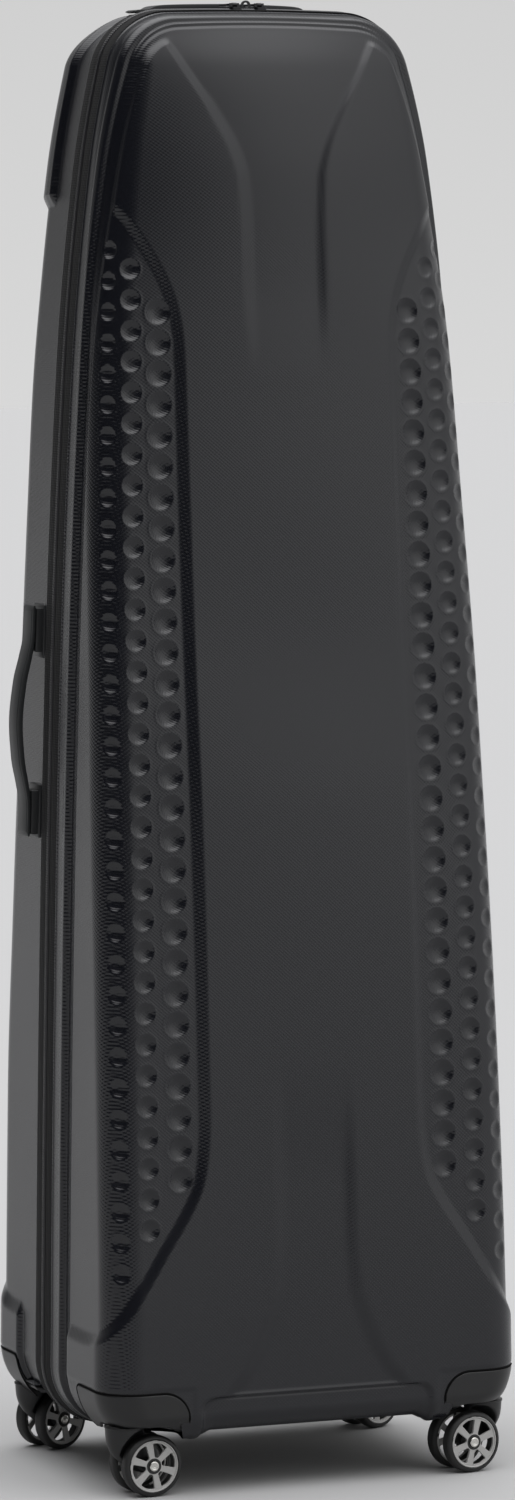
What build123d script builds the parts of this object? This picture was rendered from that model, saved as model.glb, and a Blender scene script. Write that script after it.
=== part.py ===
from build123d import *
import math
import os

# A hard-shell golf travel case that stands upright on four twin-wheel casters.
# Frame: millimetres, +Z up, the case's front towards -Y, its right side at +X.
# The origin is on the floor, under the middle of the case.

os.makedirs("parts", exist_ok=True)

# Driving dimensions of the case
zip_y = 16.0            # the zip runs round the case in this vertical plane
bottom_z = 40.0         # lowest line of the zip
top_z = 1317.0          # highest line of the zip
bottom_corner = 60.0    # radius of the lower corners, seen from the front
top_corner = 55.0       # radius of the upper corners
upright_corner = 34.0   # radius of the four long upright corners
wall = 3.0              # thickness of the moulded shells
lining = 1.2            # thickness of the fabric lining
boot = 4.5              # how far the corner brackets stand out from the shells
front_bracket_end = 90.0  # how near the brackets come to the zip plane
back_bracket_end = 62.0
edge_inset = 4.0        # the shells' walls lie this far inside the zip piping
edge_gap = 2.0          # each shell ends this far from the zip plane
tape_out = 1.2          # outside and inside of the zip tape, in from the piping
tape_in = 2.9

# Half width of the case at some heights, and the depth of each shell there
heights = [20, 330, 700, 1000, 1180, 1335]
half_widths = [202.0, 198.6, 191.2, 178.5, 161.5, 132.0]
front_depths = [166, 158, 125, 98, 86, 70]
back_depths = [131, 131, 119, 115, 114, 108]

# Casters
wheel_r = 27.8
wheel_w = 12.6
wheel_gap = 13.4
stem_x = 174.0
front_stem_y = zip_y - 138.0
back_stem_y = zip_y + 94.0
trail = 20.6
swivel_z = 64.0         # top of the fork, where it turns under its bracket
stem_r = 16.5
axle_r = 3.0
king_r = 5.0
run_gap = 0.05          # radial clearance of every running fit
well_r = 52.0           # the wheels turn in wells of this radius
seam_z = 94.0           # top of the corner brackets
screw_r = 2.0

# Handles
grip_w = 25.0
grip_t = 4.5
grip_y = zip_y + 40.5
post_r = 3.0


def save(name, *solids):
    """Writes the solids of one node."""
    flat = [s for piece in solids for s in piece.solids()]
    shape = flat[0] if len(flat) == 1 else Compound(children=flat)
    export_step(shape, f"parts/{name}.step")
    return shape


def box(low, high):
    """A block between two opposite corners."""
    size = [b - a for a, b in zip(low, high)]
    middle = [(a + b) / 2 for a, b in zip(low, high)]
    return Pos(*middle) * Box(*size)


def rod(start, end, radius):
    """A round rod from one point to another."""
    along = Vector(*end) - Vector(*start)
    plane = Plane(origin=start, z_dir=along)
    return extrude(plane * Circle(radius), amount=along.length)


def level(table, z):
    """Reads a table given at the heights, by straight lines between them."""
    for low, high, a, b in zip(heights, heights[1:], table, table[1:]):
        if z <= high:
            return a + (b - a) * (z - low) / (high - low)
    return table[-1]


# ---------------------------------------------------------------- the shells
def depth_of(side):
    """The depth table of the front shell (-1) or the back shell (1)."""
    return front_depths if side < 0 else back_depths


def section(z, inset, side):
    """A level cut through one shell's block. side is -1 for the front, 1 for the back."""
    half = level(half_widths, z) - inset
    r = upright_corner - inset
    near = zip_y
    far = zip_y + side * (level(depth_of(side), z) - inset)
    turn = far - side * r
    mid = r * (1 - math.sqrt(0.5))
    right = Line((half, near, z), (half, turn, z))
    corner = ThreePointArc((half, turn, z), (half - mid, far - side * mid, z), (half - r, far, z))
    face = Line((half - r, far, z), (r - half, far, z))
    other = ThreePointArc((r - half, far, z), (mid - half, far - side * mid, z), (-half, turn, z))
    left = Line((-half, turn, z), (-half, near, z))
    mouth = Line((-half, near, z), (half, near, z))
    return Face(Wire([right, corner, face, other, left, mouth]))


def outline(inset, spare=0.0):
    """The case seen from the front: rounded corners, tapering to a narrower top."""
    levels = [bottom_z + inset] + heights[1:-1] + [top_z - inset]
    right = [(level(half_widths, z) - inset + spare, z) for z in levels]
    left = [(-x, z) for x, z in reversed(right)]
    face = make_face(Polyline(*right, *left, close=True))
    low = face.vertices().sort_by(Axis.Y)[:2]
    face = fillet(low, bottom_corner - inset)
    high = face.vertices().sort_by(Axis.Y)[-2:]
    return fillet(high, top_corner - inset)


def profile(inset, side):
    """One shell seen from the side: its floor rises to the front, its roof falls."""
    deep = level(depth_of(side), 60) + 1 - inset
    high = level(depth_of(side), top_z) + 1 - inset
    points = [
        (zip_y, bottom_z + inset),
        (zip_y + side * deep, bottom_z + 18 + inset),
        (zip_y + side * (deep + 2), 400),
        (zip_y + side * (high + 60), 900),
        (zip_y + side * high, top_z - 12 - inset),
        (zip_y, top_z - inset),
    ]
    face = make_face(Polyline(*points, close=True))
    floor_edge = face.vertices().sort_by_distance((points[1][0], points[1][1], 0))[0]
    face = fillet(floor_edge, 32 - inset)
    roof_edge = face.vertices().sort_by_distance((points[4][0], points[4][1], 0))[0]
    return fillet(roof_edge, 28 - inset)


def block(inset, side):
    """The solid that one shell is hollowed from."""
    body = loft([section(z, inset, side) for z in heights], ruled=True)
    front_view = extrude(Plane.XZ * outline(inset, spare=1.0), amount=400, both=True)
    side_view = extrude(Plane.YZ * profile(inset, side), amount=400, both=True)
    return body & front_view & side_view


def corners(side):
    """The two places where a shell's casters are."""
    y = front_stem_y if side < 0 else back_stem_y
    return [(-stem_x, y), (stem_x, y)]


def well(x, y, grow, top):
    """The round well that one caster turns in."""
    return Pos(x, y, 0) * Cylinder(well_r + grow, top, align=(Align.CENTER, Align.CENTER, Align.MIN))


def screw_places(x, y):
    """The two screws that hold one bracket, either side of its swivel."""
    side = -1 if y < zip_y else 1
    return [(x - math.copysign(24, x), y), (x, y - side * 24)]


def corner_zone(x, y, low, high):
    """The part of the case near one caster, between two heights."""
    side = -1 if y < zip_y else 1
    out_x = math.copysign(260, x)
    in_x = math.copysign(124, x)
    near_y = zip_y + side * (front_bracket_end if side < 0 else back_bracket_end)
    far_y = zip_y + side * 260
    xs = sorted((in_x, out_x))
    ys = sorted((near_y, far_y))
    return box((xs[0], ys[0], low), (xs[1], ys[1], high))


def half_space(side, gap):
    """Everything on one side of the zip plane, from a gap away."""
    ys = sorted((zip_y + side * gap, zip_y + side * 400))
    return box((-400, ys[0], -10), (400, ys[1], 1400))


def make_shell(side):
    """One moulded shell with its wheel wells, and the two blocks it was made from."""
    outer = block(edge_inset, side)
    inner = block(edge_inset + wall, side)
    grown = block(edge_inset - boot, side)
    shell = outer
    for x, y in corners(side):
        shell += grown & corner_zone(x, y, seam_z, 138)
        shell -= well(x, y, 0, swivel_z + 4)
        inner -= well(x, y, wall, swivel_z + 4 + wall)
        for sx, sy in screw_places(x, y):
            shell -= Pos(sx, sy, 0) * Cylinder(screw_r, 200)
    shell -= inner
    return shell & half_space(side, edge_gap), outer, grown


front_shell, front_outer, front_grown = make_shell(-1)
back_shell, back_outer, back_grown = make_shell(1)

# ---------------------------------------------------------------- handles
side_z = 677.5           # middle of the side handle
side_lean = 1.75         # degrees that the side wall leans inwards
side_wall = level(half_widths, side_z) - edge_inset
grip_out = 12.3          # outside of the grip's ends, from the wall
grip_bow = 11.4          # how much further out its middle is
grip_half = 104.5
grip_thin = 3.0
post_z = 83.0            # the guide posts, either side of the middle
top_grip_half = 90.0
top_grip_y = zip_y + 60.0
top_grip_z = 1324.0      # top of the grip's raised middle
top_plate_z = 1318.2     # top of its lower end plates
top_post_x = 81.0
socket = 1.0             # how deep the posts sit in the grips
mount_gap = 1.2          # between each mount and the grip over it
guide_clear = 0.4        # the posts pass the shell and lining with this clearance


def side_place(piece):
    """Moves a piece made upright at the origin onto the leaning left wall."""
    return Pos(-side_wall, grip_y, side_z) * Rot(0, side_lean, 0) * piece


def side_posts(radius):
    """The two guide posts of the side handle."""
    end = -(grip_out - grip_thin + socket)
    posts = [rod((end, 0, z), (12, 0, z), radius) for z in (-post_z, post_z)]
    return side_place(Compound(children=posts))


def top_posts(radius):
    """The two guide posts of the top handle."""
    low = top_grip_z - 42
    high = top_plate_z - grip_thin + socket
    posts = [rod((x, top_grip_y, low), (x, top_grip_y, high), radius) for x in (-top_post_x, top_post_x)]
    return Compound(children=posts)


for cutter in (side_posts(post_r + guide_clear), top_posts(post_r + guide_clear)):
    for post in cutter.solids():
        back_shell -= post

save("front_shell", front_shell)
save("back_shell", back_shell)


def make_side_grip():
    """A soft strip that bows away from the wall in the middle."""
    out = -grip_out
    bow = -(grip_out + grip_bow)
    outer = Spline((out, grip_half), (out - 0.6, 72), (bow + 3.0, 34), (bow, 0),
                   (bow + 3.0, -34), (out - 0.6, -72), (out, -grip_half))
    under = out + grip_thin
    low = bow + grip_t
    inner = Spline((under, -grip_half), (under - 0.6, -72), (low + 3.4, -34),
                   (low, 0), (low + 3.4, 34), (under - 0.6, 72), (under, grip_half))
    ends = [Line(outer @ 1, inner @ 0), Line(inner @ 1, outer @ 0)]
    face = Face(Wire([outer, ends[0], inner, ends[1]]))
    grip = side_place(extrude(Plane.XZ * face, amount=grip_w / 2, both=True))
    for post in side_posts(post_r).solids():
        grip -= post
    return grip


def make_side_mounts(outer):
    """Two blocks on the wall under the ends of the grip, bored for its posts."""
    blocks = []
    bores = side_posts(post_r + run_gap).solids()
    for sign in (-1, 1):
        near = sign * 61
        far = sign * 102
        low = (-(grip_out - grip_thin - mount_gap), -grip_w / 2 + 1, min(near, far))
        high = (8, grip_w / 2 - 1, max(near, far))
        piece = box(low, high)
        piece = chamfer(piece.edges().filter_by(Axis.Y).sort_by(Axis.X)[:2], 1.5)
        piece = side_place(piece) - outer
        for bore in bores:
            piece -= bore
        blocks.append(max(piece.solids(), key=lambda s: s.volume))
    return blocks


def make_top_mounts(outer):
    """Two low blocks on the roof under the ends of the top grip."""
    blocks = []
    bores = top_posts(post_r + run_gap).solids()
    for sign in (-1, 1):
        near = sign * (top_post_x - 8)
        far = sign * (top_post_x + 7)
        low = (min(near, far), top_grip_y - grip_w / 2 + 1, top_grip_z - 30)
        high = (max(near, far), top_grip_y + grip_w / 2 - 1, top_plate_z - grip_thin - mount_gap)
        piece = box(low, high) - outer
        for bore in bores:
            piece -= bore
        blocks.append(max(piece.solids(), key=lambda s: s.volume))
    return blocks


def make_top_grip():
    """A strip with a raised middle, which steps down to a plate at each end."""
    right = [
        (0, top_grip_z, grip_t),
        (34, top_grip_z - 0.5, grip_t),
        (62, top_grip_z - 1.5, grip_t - 0.4),
        (70, top_grip_z - 2.6, grip_thin + 0.4),
        (76, top_plate_z + 0.5, grip_thin + 0.2),
        (83, top_plate_z, grip_thin),
        (top_grip_half, top_plate_z - 0.8, grip_thin - 0.6),
    ]
    whole = [(-x, z, t) for x, z, t in reversed(right[1:])] + right
    upper = Spline([(x, z) for x, z, t in whole])
    lower = Spline([(x, z - t) for x, z, t in reversed(whole)])
    ends = [Line(upper @ 1, lower @ 0), Line(lower @ 1, upper @ 0)]
    face = Face(Wire([upper, ends[0], lower, ends[1]]))
    grip = Pos(0, top_grip_y, 0) * extrude(Plane.XZ * face, amount=grip_w / 2, both=True)
    for post in top_posts(post_r).solids():
        grip -= post
    return grip


save("side_handle_grip", make_side_grip())
save("side_handle_posts", side_posts(post_r))
save("side_handle_mounts", *make_side_mounts(back_outer))
save("top_handle_grip", make_top_grip())
save("top_handle_posts", top_posts(post_r))
save("top_handle_mounts", *make_top_mounts(back_outer))


# ---------------------------------------------------------------- inside the case
lining_gap = 0.3
lining_inset = edge_inset + wall + lining_gap
inside_inset = lining_inset + lining


def make_lining(side):
    """The fabric lining just inside one shell, open at the zip."""
    skin = block(lining_inset, side)
    hollow = block(inside_inset, side)
    roof = swivel_z + 4 + wall + lining_gap
    for x, y in corners(side):
        skin -= well(x, y, wall + lining_gap, roof)
        hollow -= well(x, y, wall + lining_gap + lining, roof + lining)
    skin = (skin - hollow) & half_space(side, 4)
    if side > 0:
        for cutter in (side_posts(post_r + guide_clear), top_posts(post_r + guide_clear)):
            for post in cutter.solids():
                skin -= post
    return skin


save("front_lining", make_lining(-1))
save("back_lining", make_lining(1))

strap_w = 38.0
strap_t = 1.6
strap_levels = (430.0, 860.0)
buckle_half = 34.0


def floor_y(z):
    """Where the inside of the back lining is at a height."""
    return zip_y + level(back_depths, z) - inside_inset


def make_straps():
    """Webbing that lies across the back of the case, two lengths for each buckle."""
    lengths = []
    for z in strap_levels:
        back = floor_y(z + strap_w / 2) - 0.3
        reach = level(half_widths, z) - upright_corner - 4
        for sign in (-1, 1):
            xs = sorted((sign * (buckle_half - 8), sign * reach))
            lengths.append(box((xs[0], back - strap_t, z - strap_w / 2), (xs[1], back, z + strap_w / 2)))
    return lengths


def make_buckles():
    """Side-release buckles: a rounded block with two slots that the webbing ends in."""
    buckles = []
    for z in strap_levels:
        back = floor_y(z + strap_w / 2) - 0.3
        piece = box((-buckle_half, back - 11, z - 24), (buckle_half, back + 0.1, z + 24))
        piece = fillet(piece.edges().filter_by(Axis.Y), 7)
        for sign in (-1, 1):
            xs = sorted((sign * (buckle_half - 8.2), sign * (buckle_half + 5)))
            half = strap_w / 2 + 0.2
            piece -= box((xs[0], back - strap_t - 0.2, z - half), (xs[1], back + 1, z + half))
        buckles.append(piece)
    return buckles


def make_head_pad():
    """A foam cushion that fills the top of the back shell, round the club heads."""
    pad = block(inside_inset + 0.6, 1) & box((-300, zip_y + 46, 1205), (300, 400, 1290))
    for post in top_posts(post_r + 1.5).solids():
        pad -= post
    return pad


def make_lid_pocket():
    """A flat zipped pocket on the inside of the lid."""
    low = 300.0
    high = 640.0
    front = zip_y - level(front_depths, high) + inside_inset + 0.5
    pocket = box((-120, front, low), (120, front + 9, high))
    return fillet(pocket.edges().filter_by(Axis.Y), 22)


save("packing_straps", *make_straps())
save("strap_buckles", *make_buckles())
save("club_head_pad", make_head_pad())
save("lid_pocket", make_lid_pocket())


# ---------------------------------------------------------------- the zip
def ring(outer_inset, inner_inset, low_y, high_y):
    """A band that follows the case's outline between two depths."""
    band = Plane.XZ * (outline(outer_inset) - outline(inner_inset))
    solid = extrude(band, amount=-(high_y - low_y))
    return Pos(0, low_y, 0) * solid


save("front_zip_tape", ring(tape_out, tape_in, zip_y - 16, zip_y - 2.3))
save("back_zip_tape", ring(tape_out, tape_in, zip_y + 2.3, zip_y + 16))
save("front_zip_coil", ring(0, 3.4, zip_y - 2.0, zip_y - 0.2))
save("back_zip_coil", ring(0, 3.4, zip_y + 0.2, zip_y + 2.0))

# ---------------------------------------------------------------- the hinge
# The lid swings about a leaning line just outside the right-hand edge of the zip.
hinge_x = 199.5          # of the line at hinge_z
hinge_z = 500.0
hinge_lean = 0.025       # how much the line leans inwards for each unit of height


def hinge_line(z):
    """Where the hinge line is at a height."""
    return hinge_x - hinge_lean * (z - hinge_z)


def make_hinge_tape():
    """The woven hinge tape, a thin fin along the edge of the back shell."""
    levels = [150] + heights[1:4] + [1090]
    edge = [(level(half_widths, z) + 0.3, z) for z in levels]
    outer = [(hinge_line(z) - 0.4, z) for z in (levels[-1], levels[0])]
    face = make_face(Polyline(*edge, *outer, close=True))
    return Pos(0, zip_y + 1.5, 0) * extrude(Plane.XZ * face, amount=1.0)


save("hinge_tape", make_hinge_tape())

# ---------------------------------------------------------------- zip sliders and lock loop
slider_x = 12.0
slider_half = 5.5
pin_y = zip_y + 2.4      # the pin that each pull tab swings on
pin_z = top_z + 4.9
pin_r = 0.9
tab_hole_r = 2.6
tab_t = 2.0
tab_end = zip_y + 27.0   # middle of the tab's padlock hole
loop_z = top_z + 4.4     # middle of the lock loop's hole


def make_slider(x):
    """A die-cast slider that rides on the coil, with two ears for its tab's pin."""
    body = Pos(x, zip_y, top_z + 0.3 + 1.25) * Box(2 * slider_half, 8.4, 2.5)
    body = fillet(body.edges().filter_by(Axis.Z), 2.5)
    for sign in (-1, 1):
        middle = x + sign * 3.2
        body += box((middle - 1.0, pin_y - 1.8, top_z + 2.0), (middle + 1.0, pin_y + 1.8, pin_z + 1.4))
    return body + rod((x - 4.2, pin_y, pin_z), (x + 4.2, pin_y, pin_z), pin_r)


def make_tab(x):
    """A flat pull tab that lies towards the back, with a hole for a padlock."""
    low = pin_z - tab_t / 2
    high = pin_z + tab_t / 2
    tab = rod((x - 2.0, pin_y, pin_z), (x + 2.0, pin_y, pin_z), 1.8)
    tab += box((x - 2.0, pin_y, low), (x + 2.0, zip_y + 12.0, high))
    tab += box((x - 4.5, zip_y + 8.0, low), (x + 4.5, tab_end, high))
    tab += Pos(x, tab_end, pin_z) * Cylinder(4.5, tab_t)
    tab -= rod((x - 5, pin_y, pin_z), (x + 5, pin_y, pin_z), pin_r + run_gap)
    return tab - Pos(x, tab_end, pin_z) * Cylinder(tab_hole_r, 10)


def make_lock_loop():
    """A small upright loop between the sliders, for a padlock's shackle."""
    front = zip_y + 3.2
    back = zip_y + 5.7
    loop = box((-5, front, top_z - tape_out), (5, back, top_z + 1.0))
    loop += box((-4.4, front, top_z), (4.4, back, loop_z))
    loop += rod((0, front, loop_z), (0, back, loop_z), 4.4)
    return loop - rod((0, front - 1, loop_z), (0, back + 1, loop_z), tab_hole_r)


save("zip_slider_left", make_slider(-slider_x))
save("zip_slider_right", make_slider(slider_x))
save("pull_tab_left", make_tab(-slider_x))
save("pull_tab_right", make_tab(slider_x))
save("lock_loop", make_lock_loop())

# ---------------------------------------------------------------- casters
def make_tyre(side):
    """A rubber tyre with rounded shoulders."""
    low = wheel_gap / 2
    high = low + wheel_w
    tyre = rod((0, low, 0), (0, high, 0), wheel_r)
    tyre = fillet(tyre.edges().filter_by(GeomType.CIRCLE), 3.4)
    tyre -= rod((0, low - 1, 0), (0, high + 1, 0), wheel_r * 0.84)
    return tyre if side > 0 else mirror(tyre, about=Plane.XZ)


def make_hub(side):
    """A six-spoke wheel disc, dished a little towards its middle."""
    low = wheel_gap / 2
    high = low + wheel_w
    rim = wheel_r * 0.84
    hub = rod((0, low, 0), (0, high - 0.4, 0), rim)
    hub -= rod((0, low - 1, 0), (0, low + 7.5, 0), rim - 2.2) - rod((0, low - 2, 0), (0, 30, 0), 6.0)
    inner_r = 7.6
    outer_r = rim - 3.6
    for k in range(6):
        middle = math.radians(60 * k)
        points = []
        for radius, half in ((inner_r, 16), (outer_r, 22)):
            for sign in (-1, 1):
                angle = middle + sign * math.radians(half)
                points.append((radius * math.cos(angle), radius * math.sin(angle)))
        order = [points[0], points[1], points[3], points[2]]
        hole = make_face(Polyline(*order, close=True))
        hole = fillet(hole.vertices(), 1.4)
        hub -= extrude(Plane.XZ * hole, amount=60, both=True)
    hub -= rod((0, 0, 0), (0, 40, 0), axle_r + run_gap)
    return hub if side > 0 else mirror(hub, about=Plane.XZ)


def make_axle():
    """The axle, with a round head outside each wheel."""
    reach = wheel_gap / 2 + wheel_w
    pin = rod((0, -reach, 0), (0, reach, 0), axle_r)
    for sign in (-1, 1):
        head = rod((0, min(sign * reach, sign * (reach + 1.2)), 0),
                   (0, max(sign * reach, sign * (reach + 1.2)), 0), 4.6)
        pin += head
    return pin


def make_fork():
    """The swivel fork: a round cup that narrows down to the axle, between the wheels."""
    drop = swivel_z - wheel_r
    shape = loft([
        Pos(-trail, 0, drop - 0.3) * Circle(stem_r),
        Pos(-trail + 1, 0, drop - 10) * Circle(stem_r - 1.0),
        Pos(-trail + 6, 0, drop - 21) * Circle(stem_r - 4.5),
        Pos(-5, 0, drop - 36) * Circle(stem_r - 8.5),
    ])
    web = make_face(Polyline(
        (-trail - 9, drop - 14), (-trail + 15, drop - 8), (6.5, 5),
        (7.0, -3), (1, -8), (-6.5, -5.5), close=True
    ))
    shape += extrude(Plane.XZ * web, amount=wheel_gap / 2 - 0.4, both=True)
    shape += rod((0, -wheel_gap / 2 + 0.3, 0), (0, wheel_gap / 2 - 0.3, 0), 8.0)
    for sign in (-1, 1):
        near = sign * (wheel_gap / 2 - 0.3)
        far = sign * 40
        shape -= rod((0, min(near, far), 0), (0, max(near, far), 0), wheel_r + 0.8)
    shape -= rod((0, -30, 0), (0, 30, 0), axle_r)
    return shape - Pos(-trail, 0, drop) * Cylinder(king_r, 24)


def make_king_pin():
    """The upright pin that the fork turns on, with a washer head inside the bracket."""
    drop = swivel_z - wheel_r
    return Pos(-trail, 0, drop - 12) * Cylinder(
        king_r, 16.0, align=(Align.CENTER, Align.CENTER, Align.MIN))


casters = {
    "front_left": (-stem_x, front_stem_y, 3.5),
    "front_right": (stem_x, front_stem_y, 8.5 + 180),
    "rear_left": (-stem_x, back_stem_y, 21.5),
    "rear_right": (stem_x, back_stem_y, 23.0 + 180),
}

caster_pieces = {
    "fork": make_fork(),
    "king_pin": make_king_pin(),
    "axle": make_axle(),
    "inner_tyre": make_tyre(1),
    "outer_tyre": make_tyre(-1),
    "inner_hub": make_hub(1),
    "outer_hub": make_hub(-1),
}

for name, (x, y, turned) in casters.items():
    place = Pos(x, y, wheel_r) * Rot(0, 0, turned) * Pos(trail, 0, 0)
    for part_name, piece in caster_pieces.items():
        save(f"{name}_{part_name}", place * piece)


# ---------------------------------------------------------------- corner brackets
def make_bracket(x, y, grown, outer):
    """A moulded corner cap that wraps the shell's corner and roofs the wheel well."""
    plate_low = swivel_z
    plate_high = swivel_z + 4
    zone = corner_zone(x, y, plate_low, seam_z) + (well(x, y, -0.4, plate_high) - box(
        (-300, -300, -10), (300, 300, plate_low)))
    blank = grown & zone
    piece = blank - (outer - well(x, y, 0, swivel_z + 4))
    piece -= Pos(x, y, 0) * Cylinder(king_r + run_gap, 200)
    for sx, sy in screw_places(x, y):
        piece -= Pos(sx, sy, 0) * Cylinder(screw_r, 200)
    return max(piece.solids(), key=lambda s: s.volume)


def bracket_screws(x, y):
    """Screws up through a bracket's roof into the roof of the wheel well."""
    screws = []
    for sx, sy in screw_places(x, y):
        low = swivel_z + 0.4
        shank = Pos(sx, sy, low) * Cylinder(screw_r, 6.2, align=(Align.CENTER, Align.CENTER, Align.MIN))
        screws.append(shank)
    return screws


screws = {"front": [], "rear": []}
blocks = {"front": (front_grown, front_outer), "rear": (back_grown, back_outer)}
for name, (x, y, turned) in casters.items():
    end = name.split("_")[0]
    save(f"{name}_bracket", make_bracket(x, y, *blocks[end]))
    screws[end] += bracket_screws(x, y)
for end, pieces in screws.items():
    save(f"{end}_bracket_screws", *pieces)
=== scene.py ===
import math

import bmesh
import bpy
import numpy as np
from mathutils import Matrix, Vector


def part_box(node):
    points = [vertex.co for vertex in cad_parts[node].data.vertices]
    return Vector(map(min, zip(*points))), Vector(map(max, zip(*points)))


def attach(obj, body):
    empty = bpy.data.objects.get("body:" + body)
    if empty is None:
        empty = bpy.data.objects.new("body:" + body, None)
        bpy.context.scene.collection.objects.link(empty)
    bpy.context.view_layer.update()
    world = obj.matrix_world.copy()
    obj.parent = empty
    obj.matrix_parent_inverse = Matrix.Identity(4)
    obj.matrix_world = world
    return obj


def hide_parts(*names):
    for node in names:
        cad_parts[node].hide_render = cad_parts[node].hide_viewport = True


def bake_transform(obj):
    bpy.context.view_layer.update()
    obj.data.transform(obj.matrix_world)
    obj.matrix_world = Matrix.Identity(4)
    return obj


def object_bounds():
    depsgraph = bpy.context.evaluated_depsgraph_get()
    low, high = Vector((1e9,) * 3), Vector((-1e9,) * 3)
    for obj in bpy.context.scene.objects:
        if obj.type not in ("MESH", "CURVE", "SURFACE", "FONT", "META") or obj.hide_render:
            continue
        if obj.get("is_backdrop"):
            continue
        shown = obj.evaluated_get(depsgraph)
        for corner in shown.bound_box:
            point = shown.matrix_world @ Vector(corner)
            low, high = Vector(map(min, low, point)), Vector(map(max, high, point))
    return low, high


# The looks of a hard-shell golf travel case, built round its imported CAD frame.
# Sizes are in millimetres, in the CAD's own frame: +Z up, the lid towards -Y.
MM = 0.001

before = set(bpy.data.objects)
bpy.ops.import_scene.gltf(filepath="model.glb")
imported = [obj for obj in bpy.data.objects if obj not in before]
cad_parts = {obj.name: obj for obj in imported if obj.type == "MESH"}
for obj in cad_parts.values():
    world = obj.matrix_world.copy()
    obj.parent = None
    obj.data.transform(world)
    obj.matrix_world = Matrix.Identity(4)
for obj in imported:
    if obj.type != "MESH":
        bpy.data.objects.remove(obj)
cad_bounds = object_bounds()


def box_mm(node):
    """The lowest and highest corners of a CAD node, in millimetres."""
    low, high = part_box(node)
    return np.array(low) / MM, np.array(high) / MM


def middle_mm(node):
    """The middle of a CAD node's box, in millimetres."""
    return sum(box_mm(node)) / 2


coil_low, coil_high = box_mm("front_zip_coil")
ZIP_Y = coil_high[1] + 0.2
TOP_Z = coil_high[2]
BOTTOM_Z = coil_low[2]


# ---- curves and meshes
def curve(points):
    """A smooth function through (x, y) points that never overshoots them."""
    xs = np.array([p[0] for p in points], float)
    ys = np.array([p[1] for p in points], float)
    step = np.diff(xs)
    rise = np.diff(ys) / step
    slope = np.empty_like(ys)
    slope[0] = rise[0]
    slope[-1] = rise[-1]
    same = rise[1:] * rise[:-1] > 0
    total = np.where(same, rise[1:] + rise[:-1], 1.0)
    slope[1:-1] = np.where(same, 2 * rise[1:] * rise[:-1] / total, 0.0)

    def value(x):
        x = np.clip(np.asarray(x, float), xs[0], xs[-1])
        k = np.clip(np.searchsorted(xs, x) - 1, 0, len(xs) - 2)
        t = (x - xs[k]) / step[k]
        return (
            ys[k] * (1 + 2 * t) * (1 - t) ** 2
            + ys[k + 1] * t * t * (3 - 2 * t)
            + step[k] * (slope[k] * t * (1 - t) ** 2 - slope[k + 1] * t * t * (1 - t))
        )

    return value


def ease(x, start, end):
    """Rises smoothly from 0 at start to 1 at end."""
    t = np.clip((np.asarray(x, float) - start) / (end - start), 0, 1)
    return t * t * (3 - 2 * t)


def run_of(points):
    """How far along a polyline each of its points is."""
    return np.r_[0, np.cumsum(np.linalg.norm(np.diff(points, axis=0), axis=1))]


def resample(points, count, shares=None):
    """count + 1 points along a polyline, evenly spaced or at given shares of its length."""
    points = np.asarray(points, float)
    run = run_of(points)
    at = run[-1] * (np.linspace(0, 1, count + 1) if shares is None else shares)
    return np.stack([np.interp(at, run, points[:, k]) for k in range(points.shape[1])], axis=1)


def round_turn(count):
    """Angles evenly round one turn."""
    return np.linspace(0, 2 * math.pi, count, endpoint=False)


def circle(radius, count):
    """Points evenly round a circle."""
    return [(radius * math.cos(a), radius * math.sin(a)) for a in round_turn(count)]


def rounded_corners(low, high, radius, steps):
    """Points round a rectangle with rounded corners."""
    points = []
    for sx, sy, start in ((1, 1, 0), (-1, 1, 90), (-1, -1, 180), (1, -1, 270)):
        cx = (high if sx > 0 else low)[0] - sx * radius
        cy = (high if sy > 0 else low)[1] - sy * radius
        for k in range(steps + 1):
            a = math.radians(start + 90 * k / steps)
            points.append((cx + radius * math.cos(a), cy + radius * math.sin(a)))
    return points


def mirrored(near, far):
    """The same stretch on both sides of the middle."""
    return (-far, -near), (near, far)


def quads(rows, cols, wrap=False):
    """Faces of a grid of points stored row by row. wrap joins its last column to its first."""
    i = np.arange(rows - 1)[:, None] * cols
    j = np.arange(cols if wrap else cols - 1)[None, :]
    k = (j + 1) % cols
    return np.stack([i + j, i + k, i + cols + k, i + cols + j], axis=-1).reshape(-1, 4)


def normals_of(points, faces):
    """The outward or inward normal at each point of a quad mesh."""
    a, b, c, d = (points[faces[:, k]] for k in range(4))
    flat = np.cross(c - a, d - b)
    out = np.zeros_like(points)
    for k in range(4):
        for axis in range(3):
            out[:, axis] += np.bincount(faces[:, k], flat[:, axis], len(points))
    return out / np.maximum(np.linalg.norm(out, axis=1, keepdims=True), 1e-9)


def piece(name, points, faces, material, body=None, slot=None, replaces=(), smooth=True):
    """Makes one visible piece from points in millimetres, riding on a CAD body."""
    used = np.unique(np.concatenate([np.asarray(f, int) for f in faces]))
    place = np.zeros(len(points), int)
    place[used] = np.arange(len(used))
    corners = [place[np.asarray(f, int)].tolist() for f in faces]
    mesh = bpy.data.meshes.new(name)
    mesh.from_pydata((np.asarray(points, float)[used] * MM).tolist(), [], corners)
    mesh.validate()
    mesh.materials.append(material)
    if smooth:
        mesh.polygons.foreach_set("use_smooth", [True] * len(mesh.polygons))
    obj = bpy.data.objects.new(name, mesh)
    bpy.context.scene.collection.objects.link(obj)
    if body:
        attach(obj, body)
    if replaces:
        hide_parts(*replaces)
    return obj


def merged(parts):
    """Joins several (points, faces) into one."""
    points, faces, start = [], [], 0
    for p, f in parts:
        points.append(np.asarray(p, float))
        faces += [[int(i) + start for i in face] for face in f]
        start += len(p)
    return np.concatenate(points), faces


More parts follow.
